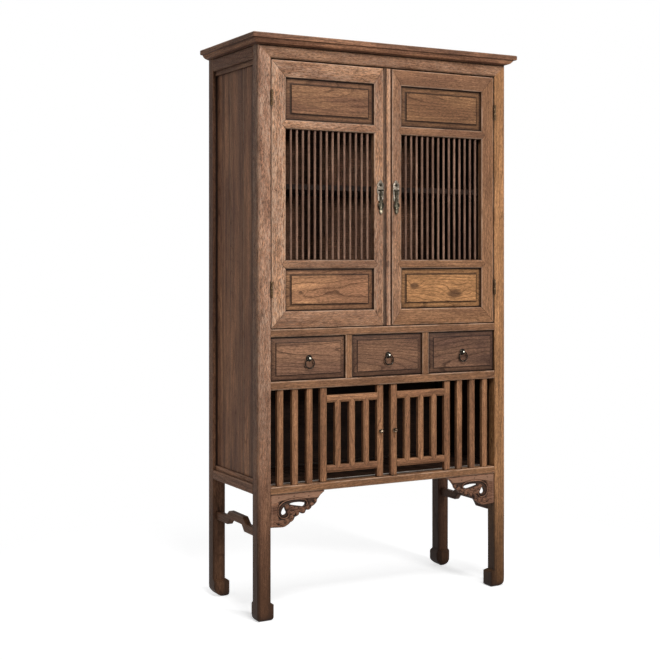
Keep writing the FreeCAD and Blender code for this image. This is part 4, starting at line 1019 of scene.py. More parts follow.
FEET: dict[str, WornFoot] = {
    "post_front_left": WornFoot(left=10 * MM, right=18 * MM, front=6 * MM, back=36 * MM),
    "post_front_right": WornFoot(left=6 * MM, right=32 * MM, front=6 * MM, back=14 * MM),
    "post_back_left": WornFoot(left=38 * MM, right=16 * MM, front=6 * MM, back=42 * MM),
    "post_back_right": WornFoot(left=32 * MM, right=36 * MM, front=10 * MM, back=34 * MM),
}


@dataclass
class Joiner:
    """Makes a dressed piece from each wooden node: softened arrises, and a grain for every member."""

    flat_angle: float = math.radians(0.6)
    sharp_angle: float = math.radians(28)
    foot_height: float = 50 * MM
    rounding_stops: tuple[float, ...] = (0.1, 0.3, 0.6, 1.0)

    def mesh_of(self, solids: list[Solid], name: str) -> bpy.types.Mesh:
        """Join the solids into one mesh that remembers which vertex is whose.

        Args:
            solids: The members.
            name: What the mesh is called.

        Returns:
            The mesh with flat faces merged and every corner still sharp.
        """
        whole = bmesh.new()
        layer = whole.verts.layers.int.new("member")
        for member, solid in enumerate(solids):
            points = [whole.verts.new(corner) for corner in solid.corners]
            for point in points:
                point[layer] = member
            for ring in solid.faces:
                if len(set(ring)) > 2:
                    whole.faces.new([points[corner] for corner in ring])
        whole.normal_update()
        bmesh.ops.dissolve_limit(
            whole, angle_limit=self.flat_angle, verts=whole.verts, edges=whole.edges,
        )
        for face in whole.faces:
            face.smooth = True
        mesh = bpy.data.meshes.new(name)
        whole.to_mesh(mesh)
        whole.free()
        return mesh

    def round_foot(self, mesh: bpy.types.Mesh, foot: WornFoot) -> None:
        """Round over the bottom edges of a leg's foot.

        Args:
            mesh: The sharp mesh of the post.
            foot: How far each side is rounded.
        """
        whole = bmesh.new()
        whole.from_mesh(mesh)
        radii = (foot.left, foot.right, foot.front, foot.back)
        stops = self.rounding_stops
        for level in sorted({round(radius * stop, 5) for radius in radii if radius for stop in stops}):
            everything = whole.verts[:] + whole.edges[:] + whole.faces[:]
            bmesh.ops.bisect_plane(whole, geom=everything, plane_co=(0, 0, level), plane_no=(0, 0, 1))
        near = [corner for corner in whole.verts if corner.co.z < self.foot_height]
        west, east = min(corner.co.x for corner in near), max(corner.co.x for corner in near)
        south, north = min(corner.co.y for corner in near), max(corner.co.y for corner in near)
        for corner in near:
            height = corner.co.z
            corner.co.x = max(corner.co.x, west + foot.inset(foot.left, height))
            corner.co.x = min(corner.co.x, east - foot.inset(foot.right, height))
            corner.co.y = max(corner.co.y, south + foot.inset(foot.front, height))
            corner.co.y = min(corner.co.y, north - foot.inset(foot.back, height))
        bmesh.ops.remove_doubles(whole, verts=whole.verts, dist=SAME_PLACE)
        whole.to_mesh(mesh)
        whole.free()

    def softened(self, mesh: bpy.types.Mesh, width: float) -> bpy.types.Mesh:
        """Round the arrises over.

        Args:
            mesh: The sharp mesh.
            width: How wide the rounding is.

        Returns:
            A new mesh with rounded arrises.
        """
        piece = bpy.data.objects.new("softening", mesh)
        bpy.context.scene.collection.objects.link(piece)
        rounding = piece.modifiers.new("arris", "BEVEL")
        rounding.width = width
        rounding.segments = 2
        rounding.limit_method = "ANGLE"
        rounding.angle_limit = self.sharp_angle
        rounding.harden_normals = True
        rounding.miter_outer = "MITER_ARC"
        graph = bpy.context.evaluated_depsgraph_get()
        shown = piece.evaluated_get(graph)
        rounded = bpy.data.meshes.new_from_object(shown, preserve_all_data_layers=True, depsgraph=graph)
        bpy.data.objects.remove(piece)
        return rounded

    def give_grain(self, mesh: bpy.types.Mesh, node: str) -> None:
        """Write each vertex's place in its member, the member's half size, its number and its look.

        Args:
            mesh: The finished mesh.
            node: The node's name, which seeds its members.
        """
        places = places_of(mesh)
        count = len(places)
        owner = np.zeros(count, dtype=np.int32)
        if "member" in mesh.attributes:
            mesh.attributes["member"].data.foreach_get("value", owner)
        local, halves = np.zeros((count, 3)), np.zeros((count, 3))
        seeds, looks = np.zeros(count), np.zeros((count, 3))
        knots, burls, edges = np.zeros((count, 3)), np.zeros((count, 3)), np.zeros(count)
        for member in np.unique(owner):
            mine = owner == member
            low, high = places[mine].min(0), places[mine].max(0)
            half = (high - low) / 2
            order = np.argsort(-half, kind="stable")
            local[mine] = (places[mine] - (low + high) / 2)[:, order]
            halves[mine] = half[order]
            seeds[mine] = zlib.crc32(f"{node}.{member}".encode()) % SEEDS / SEEDS
            board = BOARDS.get(f"{node}.{member}", BOARDS.get(node, DEFAULT_BOARD))
            looks[mine] = (board.tone * (0.96 + 0.08 * seeds[mine][0]), board.gold, board.dry)
            if board.rear:
                looks[mine & (places[:, 1] > (low[1] + high[1]) / 2), 0] = board.rear
            knots[mine], burls[mine], edges[mine] = board.knot, board.burl, board.edge
        for name, kind, values in (
            ("member_place", "FLOAT_VECTOR", local), ("member_half", "FLOAT_VECTOR", halves),
            ("member_seed", "FLOAT", seeds), ("member_look", "FLOAT_VECTOR", looks),
            ("member_knot", "FLOAT_VECTOR", knots), ("member_burl", "FLOAT_VECTOR", burls),
            ("member_edge", "FLOAT", edges),
        ):
            layer = mesh.attributes.new(name, kind, "POINT")
            field = "vector" if kind == "FLOAT_VECTOR" else "value"
            layer.data.foreach_set(field, values.ravel().astype(np.float32))

    def dress(self, node: str, material: bpy.types.Material, slot: Slot,
              width: float) -> bpy.types.Object:
        """Make the piece that stands for a wooden node.

        Args:
            node: The node's name.
            material: Its finish.
            slot: The record's slot it belongs to. Not used.
            width: How wide its arrises are rounded.

        Returns:
            The dressed piece.
        """
        sharp = self.mesh_of(solids_of(node), node + "_members")
        if node in FEET:
            self.round_foot(sharp, FEET[node])
        mesh = self.softened(sharp, width)
        mesh.name = node + "_elm"
        self.give_grain(mesh, node)
        return put_in_place(node + "_elm", mesh, material, (node,))


def put_in_place(name: str, mesh: bpy.types.Mesh, material: bpy.types.Material,
                 nodes: tuple[str, ...]) -> bpy.types.Object:
    """Make an object of a mesh, give it its finish and let it ride on its body.

    Args:
        name: What the piece is called.
        mesh: Its mesh, in the frame's place.
        material: Its finish.
        nodes: The nodes it stands for. It rides on the body of the first.

    Returns:
        The piece.
    """
    piece = bpy.data.objects.new(name, mesh)
    bpy.context.scene.collection.objects.link(piece)
    mesh.materials.clear()
    mesh.materials.append(material)
    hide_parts(*nodes)
    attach(piece, frame["nodes"][nodes[0]]["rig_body"])
    return piece


@dataclass
class Woodwork:
    """The plain joinery: which nodes have which finish."""

    joiner: Joiner
    finishes: dict[str, bpy.types.Material]

    def dress_all(self) -> None:
        """Dress every wooden node that has no carving of its own."""
        groups = {
            FRONT_ELM: (Slot.FRONT, (
                "bottom_rail_front", "drawer_rail_lower", "drawer_rail_upper", "top_rail_front",
                "drawer_dividers", "left_door_frame", "right_door_frame",
            )),
            STRIP_ELM: (Slot.FRONT, ("right_door_centre_strip",)),
            BAR_ELM: (Slot.FRONT, (
                "fixed_bars", "left_lower_door_frame", "right_lower_door_frame", "left_lower_door_bars",
                "right_lower_door_bars",
            )),
            PANEL_ELM: (Slot.FRONT, ("left_door_panels", "right_door_panels")),
            DRAWER_ELM: (Slot.FRONT, (
                "left_drawer_front", "middle_drawer_front", "right_drawer_front",
            )),
            CARCASE_ELM: (Slot.CARCASE, (
                "post_front_left", "post_front_right", "post_back_left", "post_back_right",
                "back_rails", "side_rails_left", "side_rails_right", "stretcher_left",
                "stretcher_right", "top_board",
            )),
            CORNICE_ELM: (Slot.CARCASE, ("cornice",)),
            SIDE_ELM: (Slot.CARCASE, ("side_panel_left", "side_panel_right")),
            INNER_ELM: (Slot.INSIDE, (
                "back_panels", "compartment_ceiling", "cupboard_floor", "cupboard_shelf",
                "drawer_runners", "left_drawer_box", "middle_drawer_box", "right_drawer_box",
            )),
            SLAT_ELM: (Slot.INSIDE, ("floor_slats",)),
            SPINDLE_ELM: (Slot.SPINDLES, ("left_door_spindles", "right_door_spindles")),
        }
        for finish, (slot, nodes) in groups.items():
            for node in nodes:
                piece = self.joiner.dress(node, self.finishes[finish.name], slot, finish.rounding)
                log.info("%s: %d faces", piece.name, len(piece.data.polygons))


@dataclass
class Spandrel:
    """A scroll-carved bracket under the front rail, with a beaded edge round its piercings.

    Places on its face are counted in millimetres from the post along the rail, and down from the rail.
    """

    side: Side
    joiner: Joiner
    finish: bpy.types.Material
    grain_size: float = 1.2 * MM
    thickness: float = 14 * MM
    nail_places: tuple[Point, ...] = ((30, 12), (86, 11), (140, 14.5))
    nail_radius: float = 1.7
    plain_band: float = 21.0
    slot_from: Point = (98, 36)
    slot_to: Point = (100, 38.5)
    slot_scale: Point = (1.0, 0.6)
    slot_reach: Point = (40, 17)
    comma_from: Point = (46.5, 52)
    comma_to: Point = (51.5, 55.5)
    comma_scale: Point = (0.8, 0.68)
    comma_reach: Point = (26, 27)
    deepest: float = 5.5
    leaf_depth: float = 3.2
    ground_cut: Point = (0.5, 2.7)
    bead_groove: tuple[float, float, float] = (2.2, 3.3, 1.2)
    bead_round: float = 1.9
    scroll_cut: Point = (2.4, 1.1)
    scroll_steps: int = 25
    scroll_turn: float = 0.42
    vein_cut: Point = (2.2, 1.2)
    nail_depth: float = 2.6
    chisel_depth: float = 0.15
    bead_line: tuple[Point, ...] = (
        (133, 44), (136, 37), (132, 29), (122, 24), (96, 20.5), (70, 21.5), (56, 24), (44, 29),
        (34, 37), (29, 47), (28, 60), (31, 70), (39, 78), (50, 81), (60, 79), (66, 73), (68, 66),
    )
    leaves: tuple[tuple[float, float, float], ...] = (
        (60, 44, 9), (77, 50, 10), (95, 56, 10), (111, 56, 9), (124, 52, 8), (70, 62, 9),
        (83, 66, 8), (58, 86, 9), (44, 92, 10), (62, 96, 8), (76, 80, 9), (99, 69, 7), (121, 64, 7),
        (139, 52, 9), (153, 42, 8), (166, 33, 8), (178, 19, 8), (24, 94, 10), (188, 10, 6),
        (10, 84, 9),
    )
    scrolls: tuple[tuple[float, float, float], ...] = (
        (76, 52, 7), (112, 56, 6), (126, 50, 6), (142, 50, 6), (54, 91, 7), (74, 80, 6),
        (160, 35, 5), (28, 95, 6),
    )
    veins: tuple[tuple[Point, ...], ...] = (
        ((84, 58), (93, 57), (103, 52)), ((72, 72), (78, 68), (88, 62)),
        ((131, 58), (139, 55), (148, 48)), ((149, 38), (158, 34), (167, 27)),
        ((16, 90), (30, 99), (44, 104)), ((171, 26), (180, 18), (190, 8)),
        ((60, 104), (68, 96), (73, 88)), ((84, 84), (90, 76), (94, 70)),
        ((114, 66), (120, 70), (126, 64)),
    )

    def field(self, along: np.ndarray, down: np.ndarray) -> np.ndarray:
        """Where the carving lies: 0 on the plain band and border, 1 on the carved field.

        Args:
            along: Places along the rail.
            down: Places under the rail.

        Returns:
            The share of carving at each place.
        """
        low = np.clip((down - self.plain_band - 6 * np.clip((40 - along) / 20, 0, 1)) / 3, 0, 1)
        return low * np.clip((along - 4) / 6, 0, 1)

    def tighten(self, along: np.ndarray, down: np.ndarray) -> tuple[np.ndarray, np.ndarray]:
        """Draw the wood in round the two piercings, so that they are as slim as the carver left them.

        Args:
            along: Places along the rail.
            down: Places under the rail.

        Returns:
            The new places along and down.
        """
        for start, end, scale, reach in (
            (self.slot_from, self.slot_to, self.slot_scale, self.slot_reach),
            (self.comma_from, self.comma_to, self.comma_scale, self.comma_reach),
        ):
            across, below = along - start[0], down - start[1]
            pull = np.exp(-((across / reach[0]) ** 2 + (below / reach[1]) ** 2) ** 2)
            along = along + pull * (end[0] - start[0] + (scale[0] - 1) * across)
            down = down + pull * (end[1] - start[1] + (scale[1] - 1) * below)
        return along, down

    def relief(self, along: np.ndarray, down: np.ndarray) -> np.ndarray:
        """How far the carver cut the face back, in millimetres.

        Args:
            along: Places along the rail.
            down: Places under the rail.

        Returns:
            The depth of the cut at each place.
        """
        spots = np.stack([along, down], axis=1)
        near_bead = distance_to(spots, self.bead_line)
        mound = np.full(len(along), self.leaf_depth)
        for across, below, reach in self.leaves:
            share = np.clip(np.hypot(along - across, down - below) / reach, 0, 1)
            mound = np.minimum(mound, self.leaf_depth * (1 - np.sqrt(1 - share ** 2)))
        ground = np.clip((along - 24) / 10, 0, 1) * np.clip((92 - down) / 8, 0.25, 1)
        shallow, deeper = self.ground_cut
        cut = np.minimum(mound, shallow + deeper * ground) * self.field(along, down)
        groove, away, width = self.bead_groove
        cut += groove * np.exp(-((near_bead - away) / width) ** 2)
        cut *= 1 - np.exp(-(near_bead / self.bead_round) ** 4)
        depth, width = self.scroll_cut
        for across, below, reach in self.scrolls:
            turns = []
            for step in range(self.scroll_steps):
                radius = reach * (1 - step / (self.scroll_steps + 1))
                angle = step * self.scroll_turn + 0.6
                turns.append((across + radius * math.cos(angle), below + radius * math.sin(angle)))
            cut += depth * np.exp(-(distance_to(spots, tuple(turns)) / width) ** 2)
        depth, width = self.vein_cut
        for vein in self.veins:
            cut += depth * np.exp(-(distance_to(spots, vein) / width) ** 2)
        for across, below in self.nail_places:
            gap = np.hypot(along - across, down - below)
            cut += self.nail_depth * np.exp(-(gap / self.nail_radius) ** 4)
        chisel = np.sin(along * 1.9 + np.sin(down * 0.7) * 2) * np.sin(down * 1.6 + along * 0.4)
        return np.clip(cut + chisel * self.chisel_depth, 0, self.deepest)

    def build(self) -> bpy.types.Object:
        """Carve the bracket out of its solid.

        Returns:
            The carved piece.
        """
        node = f"spandrel_{self.side.word}"
        low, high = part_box(node)
        rough = self.joiner.mesh_of(solids_of(node), node + "_blank")
        blank = bpy.data.objects.new("carving", rough)
        bpy.context.scene.collection.objects.link(blank)
        cells = blank.modifiers.new("cells", "REMESH")
        cells.mode = "VOXEL"
        cells.voxel_size = self.grain_size
        smoothing = blank.modifiers.new("smoothing", "SMOOTH")
        smoothing.iterations = 2
        shown = blank.evaluated_get(bpy.context.evaluated_depsgraph_get())
        mesh = bpy.data.meshes.new_from_object(shown)
        bpy.data.objects.remove(blank)
        places = places_of(mesh)
        post = low.x if self.side is Side.LEFT else high.x
        along = (places[:, 0] - post) * -self.side.value / MM
        down = (high.z - places[:, 2]) / MM
        along, down = self.tighten(along, down)
        places[:, 0] = post - along * self.side.value * MM
        places[:, 2] = high.z - down * MM
        share = np.clip((places[:, 1] - low.y) / self.thickness, 0, 1)
        cut = self.relief(along, down)
        places[:, 1] += cut * MM * (1 - share)
        places[:, 0] = np.clip(places[:, 0], low.x, high.x)
        places[:, 1] = np.clip(places[:, 1], low.y, high.y)
        places[:, 2] = np.clip(places[:, 2], low.z, high.z)
        mesh.vertices.foreach_set("co", places.ravel())
        mesh.polygons.foreach_set("use_smooth", np.ones(len(mesh.polygons), dtype=bool))
        mesh.update()
        self.joiner.give_grain(mesh, node)
        layer = mesh.attributes.new("member_cut", "FLOAT", "POINT")
        # The cut mark also carries painted shadow: a dark line under the rail and beside the post.
        depth = cut / self.deepest + 0.12 * self.field(along, down)
        depth += 0.7 * np.exp(-(down / 2.6) ** 2) + 0.5 * np.exp(-(along / 3) ** 2)
        layer.data.foreach_set("value", (depth * (1 - share)).astype(np.float32))
        return put_in_place(node + "_carved", mesh, self.finish, (node,))


def distance_to(spots: np.ndarray, line: tuple[Point, ...]) -> np.ndarray:
    """How far each spot is from a bent line.

    Args:
        spots: Places on the face, two numbers each.
        line: The line's corners.

    Returns:
        The shortest distance of each spot.
    """
    nearest = np.full(len(spots), np.inf)
    for start, end in zip(line, line[1:]):
        first, run = np.array(start), np.array(end) - np.array(start)
        share = np.clip((spots - first) @ run / max(run @ run, 1e-9), 0, 1)
        gap = spots - first - share[:, None] * run
        nearest = np.minimum(nearest, np.hypot(gap[:, 0], gap[:, 1]))
    return nearest


def bands(rings: int, steps: int, closed: bool = False) -> list[tuple[int, ...]]:
    """Join rings of corners, one after another, into faces.

    Args:
        rings: How many rings there are.
        steps: How many corners each has.
        closed: Whether the last ring joins the first.

    Returns:
        The faces.
    """
    faces = []
    for ring in range(rings if closed else rings - 1):
        first, second = ring * steps, (ring + 1) % rings * steps
        for step in range(steps):
            following = (step + 1) % steps
            faces.append((first + step, first + following, second + following, second + step))
    return faces


@dataclass
class Turner:
    """Turns and casts the brass: round work about a level axis that points out of the front."""

    steps: int = 48
    wire_steps: int = 16
    smooth_angle: float = math.radians(35)

    def lathe(self, centre: Point, face: float, profile: list[Point]) -> list:
        """Turn a profile about an axis that runs straight out of the front.

        Args:
            centre: The axis's place along X and Z.
            face: Where the profile's reach is counted from, along Y.
            profile: Radius and reach out of the face, in order from the rim to the middle.

        Returns:
            The corners and the faces.
        """
        corners = []
        for radius, reach in profile:
            for step in range(self.steps):
                angle = math.tau * step / self.steps
                across, up = radius * math.cos(angle), radius * math.sin(angle)
                corners.append((centre[0] + across, face - reach, centre[1] + up))
        return [corners, bands(len(profile), self.steps)]

    def hoop(self, centre: tuple[float, float, float], radius: float, wire: float) -> list:
        """A ring of round wire that hangs flat against the front.

        Args:
            centre: The middle of the ring.
            radius: From there to the middle of the wire.
            wire: Half the wire's thickness.

        Returns:
            The corners and the faces.
        """
        corners, faces = [], []
        around = self.wire_steps
        for step in range(self.steps):
            angle = math.tau * step / self.steps
            worn = wire * (1 - 0.05 * (1 + math.cos(angle - math.pi / 2)))
            for turn in range(around):
                lean = math.tau * turn / around
                out = radius + worn * math.cos(lean)
                corners.append((
                    centre[0] + out * math.cos(angle), centre[1] + worn * math.sin(lean),
                    centre[2] + out * math.sin(angle),
                ))
        for step in range(self.steps):
            for turn in range(around):
                here, there = step * around, (step + 1) % self.steps * around
                following = (turn + 1) % around
                faces.append((here + turn, there + turn, there + following, here + following))
        return [corners, faces]

    def mesh(self, name: str, parts: list[list]) -> bpy.types.Mesh:
        """Join parts into one mesh.

        Args:
            name: What the mesh is called.
            parts: Corners and faces of each part.

        Returns:
            The mesh.
        """
        whole = bmesh.new()
        for corners, faces in parts:
            points = [whole.verts.new(corner) for corner in corners]
            for face in faces:
                whole.faces.new([points[corner] for corner in face])
        bmesh.ops.remove_doubles(whole, verts=whole.verts, dist=SAME_PLACE)
        bmesh.ops.recalc_face_normals(whole, faces=whole.faces)
        for face in whole.faces:
            face.smooth = True
        for edge in whole.edges:
            edge.smooth = edge.calc_face_angle(0) < self.smooth_angle
        mesh = bpy.data.meshes.new(name)
        whole.to_mesh(mesh)
        whole.free()
        return mesh


def mark_handled(mesh: bpy.types.Mesh, share: Callable[[np.ndarray], np.ndarray]) -> None:
    """Mark where the brass is rubbed bright by hands, where a highlight is painted on it, and where it
    tarnished.

    Args:
        mesh: The brass.
        share: Gives each place 1 where it is bright and -1 where it is black.
    """
    marks = mesh.attributes.new("handled", "FLOAT", "POINT")
    marks.data.foreach_set("value", share(places_of(mesh)).astype(np.float32))


@dataclass
class DrawerPull:
    """A domed boss with an eye, and the ring that hangs from it."""

    name: str
    turner: Turner
    finish: bpy.types.Material
    dome: tuple[Point, ...] = (
        (1.0, 0.0), (1.0, 0.12), (0.965, 0.24), (0.9, 0.27), (0.86, 0.2), (0.82, 0.3), (0.72, 0.52),
        (0.58, 0.72), (0.42, 0.87), (0.24, 0.96), (0.1, 1.0), (0.0, 1.0),
    )
    eye_radius: float = 4.3 * MM
    eye_bore: float = 2.8 * MM
    eye_length: float = 6 * MM
    eye_reach: float = 7 * MM
    boss_height: float = 5 * MM
    wire: float = 2 * MM
    eye_steps: int = 28

    def eye(self, centre: Point, face: float) -> list:
        """The staple's eye, a short tube that the ring passes through.

        Args:
            centre: The boss's place along X and Z.
            face: The face of the drawer front.

        Returns:
            The corners and the faces.
        """
        corners = []
        profile = (
            (-0.5, self.eye_bore), (-0.5, self.eye_radius * 0.86), (-0.3, self.eye_radius),
            (0.3, self.eye_radius), (0.5, self.eye_radius * 0.86), (0.5, self.eye_bore),
            (0, self.eye_bore * 1.04),
        )
        around = self.eye_steps
        for share, radius in profile:
            for step in range(around):
                angle = math.tau * step / around
                corners.append((
                    centre[0] + share * self.eye_length,
                    face - self.eye_reach + radius * math.cos(angle),
                    centre[1] + radius * math.sin(angle),
                ))
        return [corners, bands(len(profile), around, closed=True)]

    def build(self) -> None:
        """Make the boss on the drawer and the ring on its own body."""
        boss, ring = f"{self.name}_drawer_boss", f"{self.name}_drawer_ring"
        low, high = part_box(boss)
        centre = ((low.x + high.x) / 2, (low.z + high.z) / 2)
        radius = (high.x - low.x) / 2
        profile = [(share * radius, rise * self.boss_height) for share, rise in self.dome]
        parts = [self.turner.lathe(centre, high.y, profile), self.eye(centre, high.y)]
        mesh = self.turner.mesh(boss + "_brass", parts)
        # Painted highlight: the front of the eye is marked bright.
        rubbed = high.y - self.eye_reach - self.eye_radius * 0.75
        mark_handled(mesh, lambda spots: 0.9 * (spots[:, 1] < rubbed))
        put_in_place(boss + "_brass", mesh, self.finish, (boss,))
        low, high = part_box(ring)
        middle = ((low.x + high.x) / 2, (low.y + high.y) / 2, (low.z + high.z) / 2)
        hoop = self.turner.hoop(middle, (high.x - low.x) / 2 - self.wire, self.wire)
        mesh = self.turner.mesh(ring + "_brass", [hoop])
        put_in_place(ring + "_brass", mesh, self.finish, (ring,))
        log.info("%s drawer pull", self.name)


@dataclass
class DoorPull:
    """A pierced-looking plate with two ears, and the cast drop that hangs from its pin."""

    side: Side
    turner: Turner
    plate_finish: bpy.types.Material
    drop_finish: bpy.types.Material
    pivot_level: float = 1405 * MM
    pivot_reach: float = 5.5 * MM
    plate_thickness: float = 1.5 * MM
    plate_dome: float = 0.5 * MM
    drop_thickness: float = 2 * MM
    drop_dome: float = 1.3 * MM
    barrel: float = 2.6 * MM
    barrel_half: float = 5 * MM
    ear_half: float = 1.6 * MM
    ear_place: float = 7.4 * MM
    knop: float = 5.2 * MM
    knop_level: float = 1424 * MM
    knop_shape: tuple[Point, ...] = ((1, 0), (1, 1.2), (0.86, 2.6), (0.5, 3.8), (0.2, 4.3), (0, 4.4))
    rosette_level: float = 1354 * MM
    rosette: float = 11.2 * MM
    petals: int = 8
    roller_steps: int = 20
    tip_level: float = 1340 * MM
    tip_shine: float = 0.5
    crest_rise: float = 1.15 * MM
    crest_shine: float = 0.15
    plate_edge: tuple[Point, ...] = (
        (1441, 0.6), (1439.5, 3.6), (1436.5, 5.6), (1433.5, 6.4), (1431.5, 8.6), (1428.5, 11.6),
        (1424, 13), (1419.5, 12.6), (1416.5, 11.2), (1414, 11.8), (1409, 13), (1402, 13),
        (1396, 12.4), (1391, 11), (1387.5, 10), (1384, 10.6), (1379, 11.4), (1374, 10.8),
        (1370, 8.4), (1367.5, 5), (1366, 0.8),
    )
    drop_edge: tuple[Point, ...] = (
        (1406.5, 2.6), (1402, 3), (1398, 4.6), (1393.5, 5.4), (1389, 4.8), (1384.5, 3.4), (1379, 3),
        (1374, 3.8), (1369.5, 5.6), (1366, 7), (1344, 7), (1342, 5.4), (1339.5, 5.6), (1336.5, 6.6),
        (1333, 6.2), (1329.5, 4.4), (1326.5, 2.2), (1324.3, 0.5),
    )

    def sheet(self, middle: float, edge: tuple[Point, ...], back: float, front: float,
              dome: float) -> list:
        """A sheet with a shaped edge whose face swells towards its middle.

        Args:
            middle: The sheet's middle along X.
            edge: Height and half width down one edge, in millimetres.
            back: The Y of its flat back.
            front: The Y of its face at the edge.
            dome: How far its middle stands out from there.

        Returns:
            The corners and the faces.
        """
        shares = (-1.0, -0.82, -0.5, -0.18, 0.0, 0.18, 0.5, 0.82, 1.0)
        count = len(shares)
        corners, faces = [], []
        for level, half in edge:
            for share in shares:
                swell = dome * (1 - share ** 2) * min(half / 4, 1.0)
                corners.append((middle + share * half * MM, front - swell, level * MM))
            for share in shares:
                corners.append((middle + share * half * MM, back, level * MM))
        row = count * 2
        for band in range(len(edge) - 1):
            upper, lower = band * row, (band + 1) * row
            for step in range(count - 1):
                faces.append((upper + step, upper + step + 1, lower + step + 1, lower + step))
                behind, below = upper + count, lower + count
                faces.append((behind + step, below + step, below + step + 1, behind + step + 1))
            faces.append((upper, lower, lower + count, upper + count))
            faces.append((upper + count - 1, upper + row - 1, lower + row - 1, lower + count - 1))
        for band, flip in ((0, False), (len(edge) - 1, True)):
            start = band * row
            front_row = list(range(start, start + count))
            back_row = list(range(start + count, start + row))
            rim = front_row + back_row[::-1]
            faces.append(tuple(reversed(rim)) if flip else tuple(rim))
        return [corners, faces]

    def flower(self, centre: Point, face: float) -> list:
        """The rosette: a beaded rim, a ring of petals and a button in the middle.

        Args:
            centre: Its middle along X and Z.
            face: The Y that its rises are counted from.

        Returns:
            The corners and the faces.
        """
        rises = (
            (1.0, -1.9, 0.0), (1.0, 0.1, 0.0), (0.95, 0.7, 0.0), (0.88, 0.8, 0.0), (0.82, 0.2, 0.0),
            (0.77, 0.1, 0.3), (0.7, 0.6, 0.8), (0.6, 0.8, 0.8), (0.5, 0.6, 0.6), (0.42, 0.1, 0.2),
            (0.37, 0.1, 0.0), (0.32, 0.9, 0.0), (0.24, 1.35, 0.0), (0.12, 1.55, 0.0),
            (0.0, 1.6, 0.0),
        )
        steps = self.turner.steps
        corners = []
        for share, rise, petal in rises:
            for step in range(steps):
                angle = math.tau * step / steps
                wave = 0.5 + 0.5 * math.cos(angle * self.petals)
                reach = (rise + petal * (wave - 0.6)) * MM
                radius = self.rosette * share
                across, up = radius * math.cos(angle), radius * math.sin(angle)
                corners.append((centre[0] + across, face - reach, centre[1] + up))
        return [corners, bands(len(rises), steps) + [tuple(range(steps))]]

    def roller(self, middle: float, half: float, y: float) -> list:
        """A short round barrel that lies along X at the pivot.

        Args:
            middle: Its middle along X.
            half: Half its length.
            y: Its axis along Y.

        Returns:
            The corners and the faces.
        """
        around = self.roller_steps
        stops = ((-1.0, 0.8), (-0.86, 1.0), (0.86, 1.0), (1.0, 0.8))
        corners = []
        for share, width in stops:
            for step in range(around):
                angle = math.tau * step / around
                corners.append((
                    middle + share * half, y + self.barrel * width * math.cos(angle),
                    self.pivot_level + self.barrel * width * math.sin(angle),
                ))
        faces = bands(len(stops), around)
        faces.append(tuple(range(around)))
        faces.append(tuple(range((len(stops) - 1) * around, len(stops) * around)))
        return [corners, faces]

    def build(self) -> None:
        """Make the plate on the door and the drop on its own body."""
        plate, drop = f"{self.side.word}_door_pull_plate", f"{self.side.word}_door_pull"
        low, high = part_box(plate)
        middle = (low.x + high.x) / 2
        axis = high.y - self.pivot_reach
        face = high.y - self.plate_thickness
        parts = [self.sheet(middle, self.plate_edge, high.y, face, self.plate_dome)]
        for way in (-1, 1):
            parts.append(self.roller(middle + way * self.ear_place, self.ear_half, axis))
        knop = [(self.knop * share, rise * MM) for share, rise in self.knop_shape]
        parts.append(self.turner.lathe((middle, self.knop_level), face, knop))
        mesh = self.turner.mesh(plate + "_brass", parts)
        mark_handled(mesh, lambda spots: -0.85 * (spots[:, 1] < face - self.plate_dome - 0.2 * MM))
        put_in_place(plate + "_brass", mesh, self.plate_finish, (plate,))
        back = axis + self.drop_thickness / 2
        face = axis - self.drop_thickness / 2
        parts = [
            self.sheet(middle, self.drop_edge, back, face, self.drop_dome),
            self.flower((middle, self.rosette_level), face),
            self.roller(middle, self.barrel_half, axis),
        ]
        mesh = self.turner.mesh(drop + "_brass", parts)

        def touched(spots: np.ndarray) -> np.ndarray:
            """The leaf tip and the crests of the rosette are marked bright, as rubbed brass with a
            painted highlight.

            Args:
                spots: Places on the drop.

            Returns:
                How bright each place is marked.
            """
            tip = np.clip((self.tip_level - spots[:, 2]) / (5 * MM), 0, 1) * self.tip_shine
            proud = spots[:, 1] < face - self.crest_rise
            crest = self.crest_shine * proud * (np.abs(spots[:, 2] - self.rosette_level) < self.rosette)
            return np.maximum(tip, crest)

        mark_handled(mesh, touched)
        put_in_place(drop + "_brass", mesh, self.drop_finish, (drop,))
        log.info("%s door pull", self.side.word)


@dataclass
class BarDoorKnob:
    """The small turned knob on a lower door's meeting stile."""

    side: Side
    turner: Turner
    finish: bpy.types.Material
    radius: float = 7 * MM
    rose: float = 5.5 * MM
    rose_shape: tuple[Point, ...] = ((1, 0), (1, 0.8), (0.9, 1.3), (0.62, 1.5))
    ball_steps: int = 15

    def build(self) -> None:
        """Turn the knob over its node."""
        node = f"{self.side.word}_lower_door_knob"
        low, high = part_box(node)
        centre = ((low.x + high.x) / 2, (low.z + high.z) / 2)
        reach = high.y - low.y
        profile = [(self.rose * share, rise * MM) for share, rise in self.rose_shape]
        profile.append((self.radius * 0.36, 2.2 * MM))
        ball = reach - self.radius
        for step in range(self.ball_steps):
            angle = math.radians(-66 + 156 * step / (self.ball_steps - 1))
            profile.append((self.radius * math.cos(angle), ball + self.radius * math.sin(angle)))
        mesh = self.turner.mesh(node + "_brass", [self.turner.lathe(centre, high.y, profile)])
        put_in_place(node + "_brass", mesh, self.finish, (node,))
        log.info("%s knob", self.side.word)


@dataclass(frozen=True)
class SoftBox:
    """A soft lamp: its place, aim and size in metres, its beam in degrees, its power in watts."""

    name: str
    place: tuple[float, float, float]
    target: tuple[float, float, float]
    size: Point
    spread: float
    power: float


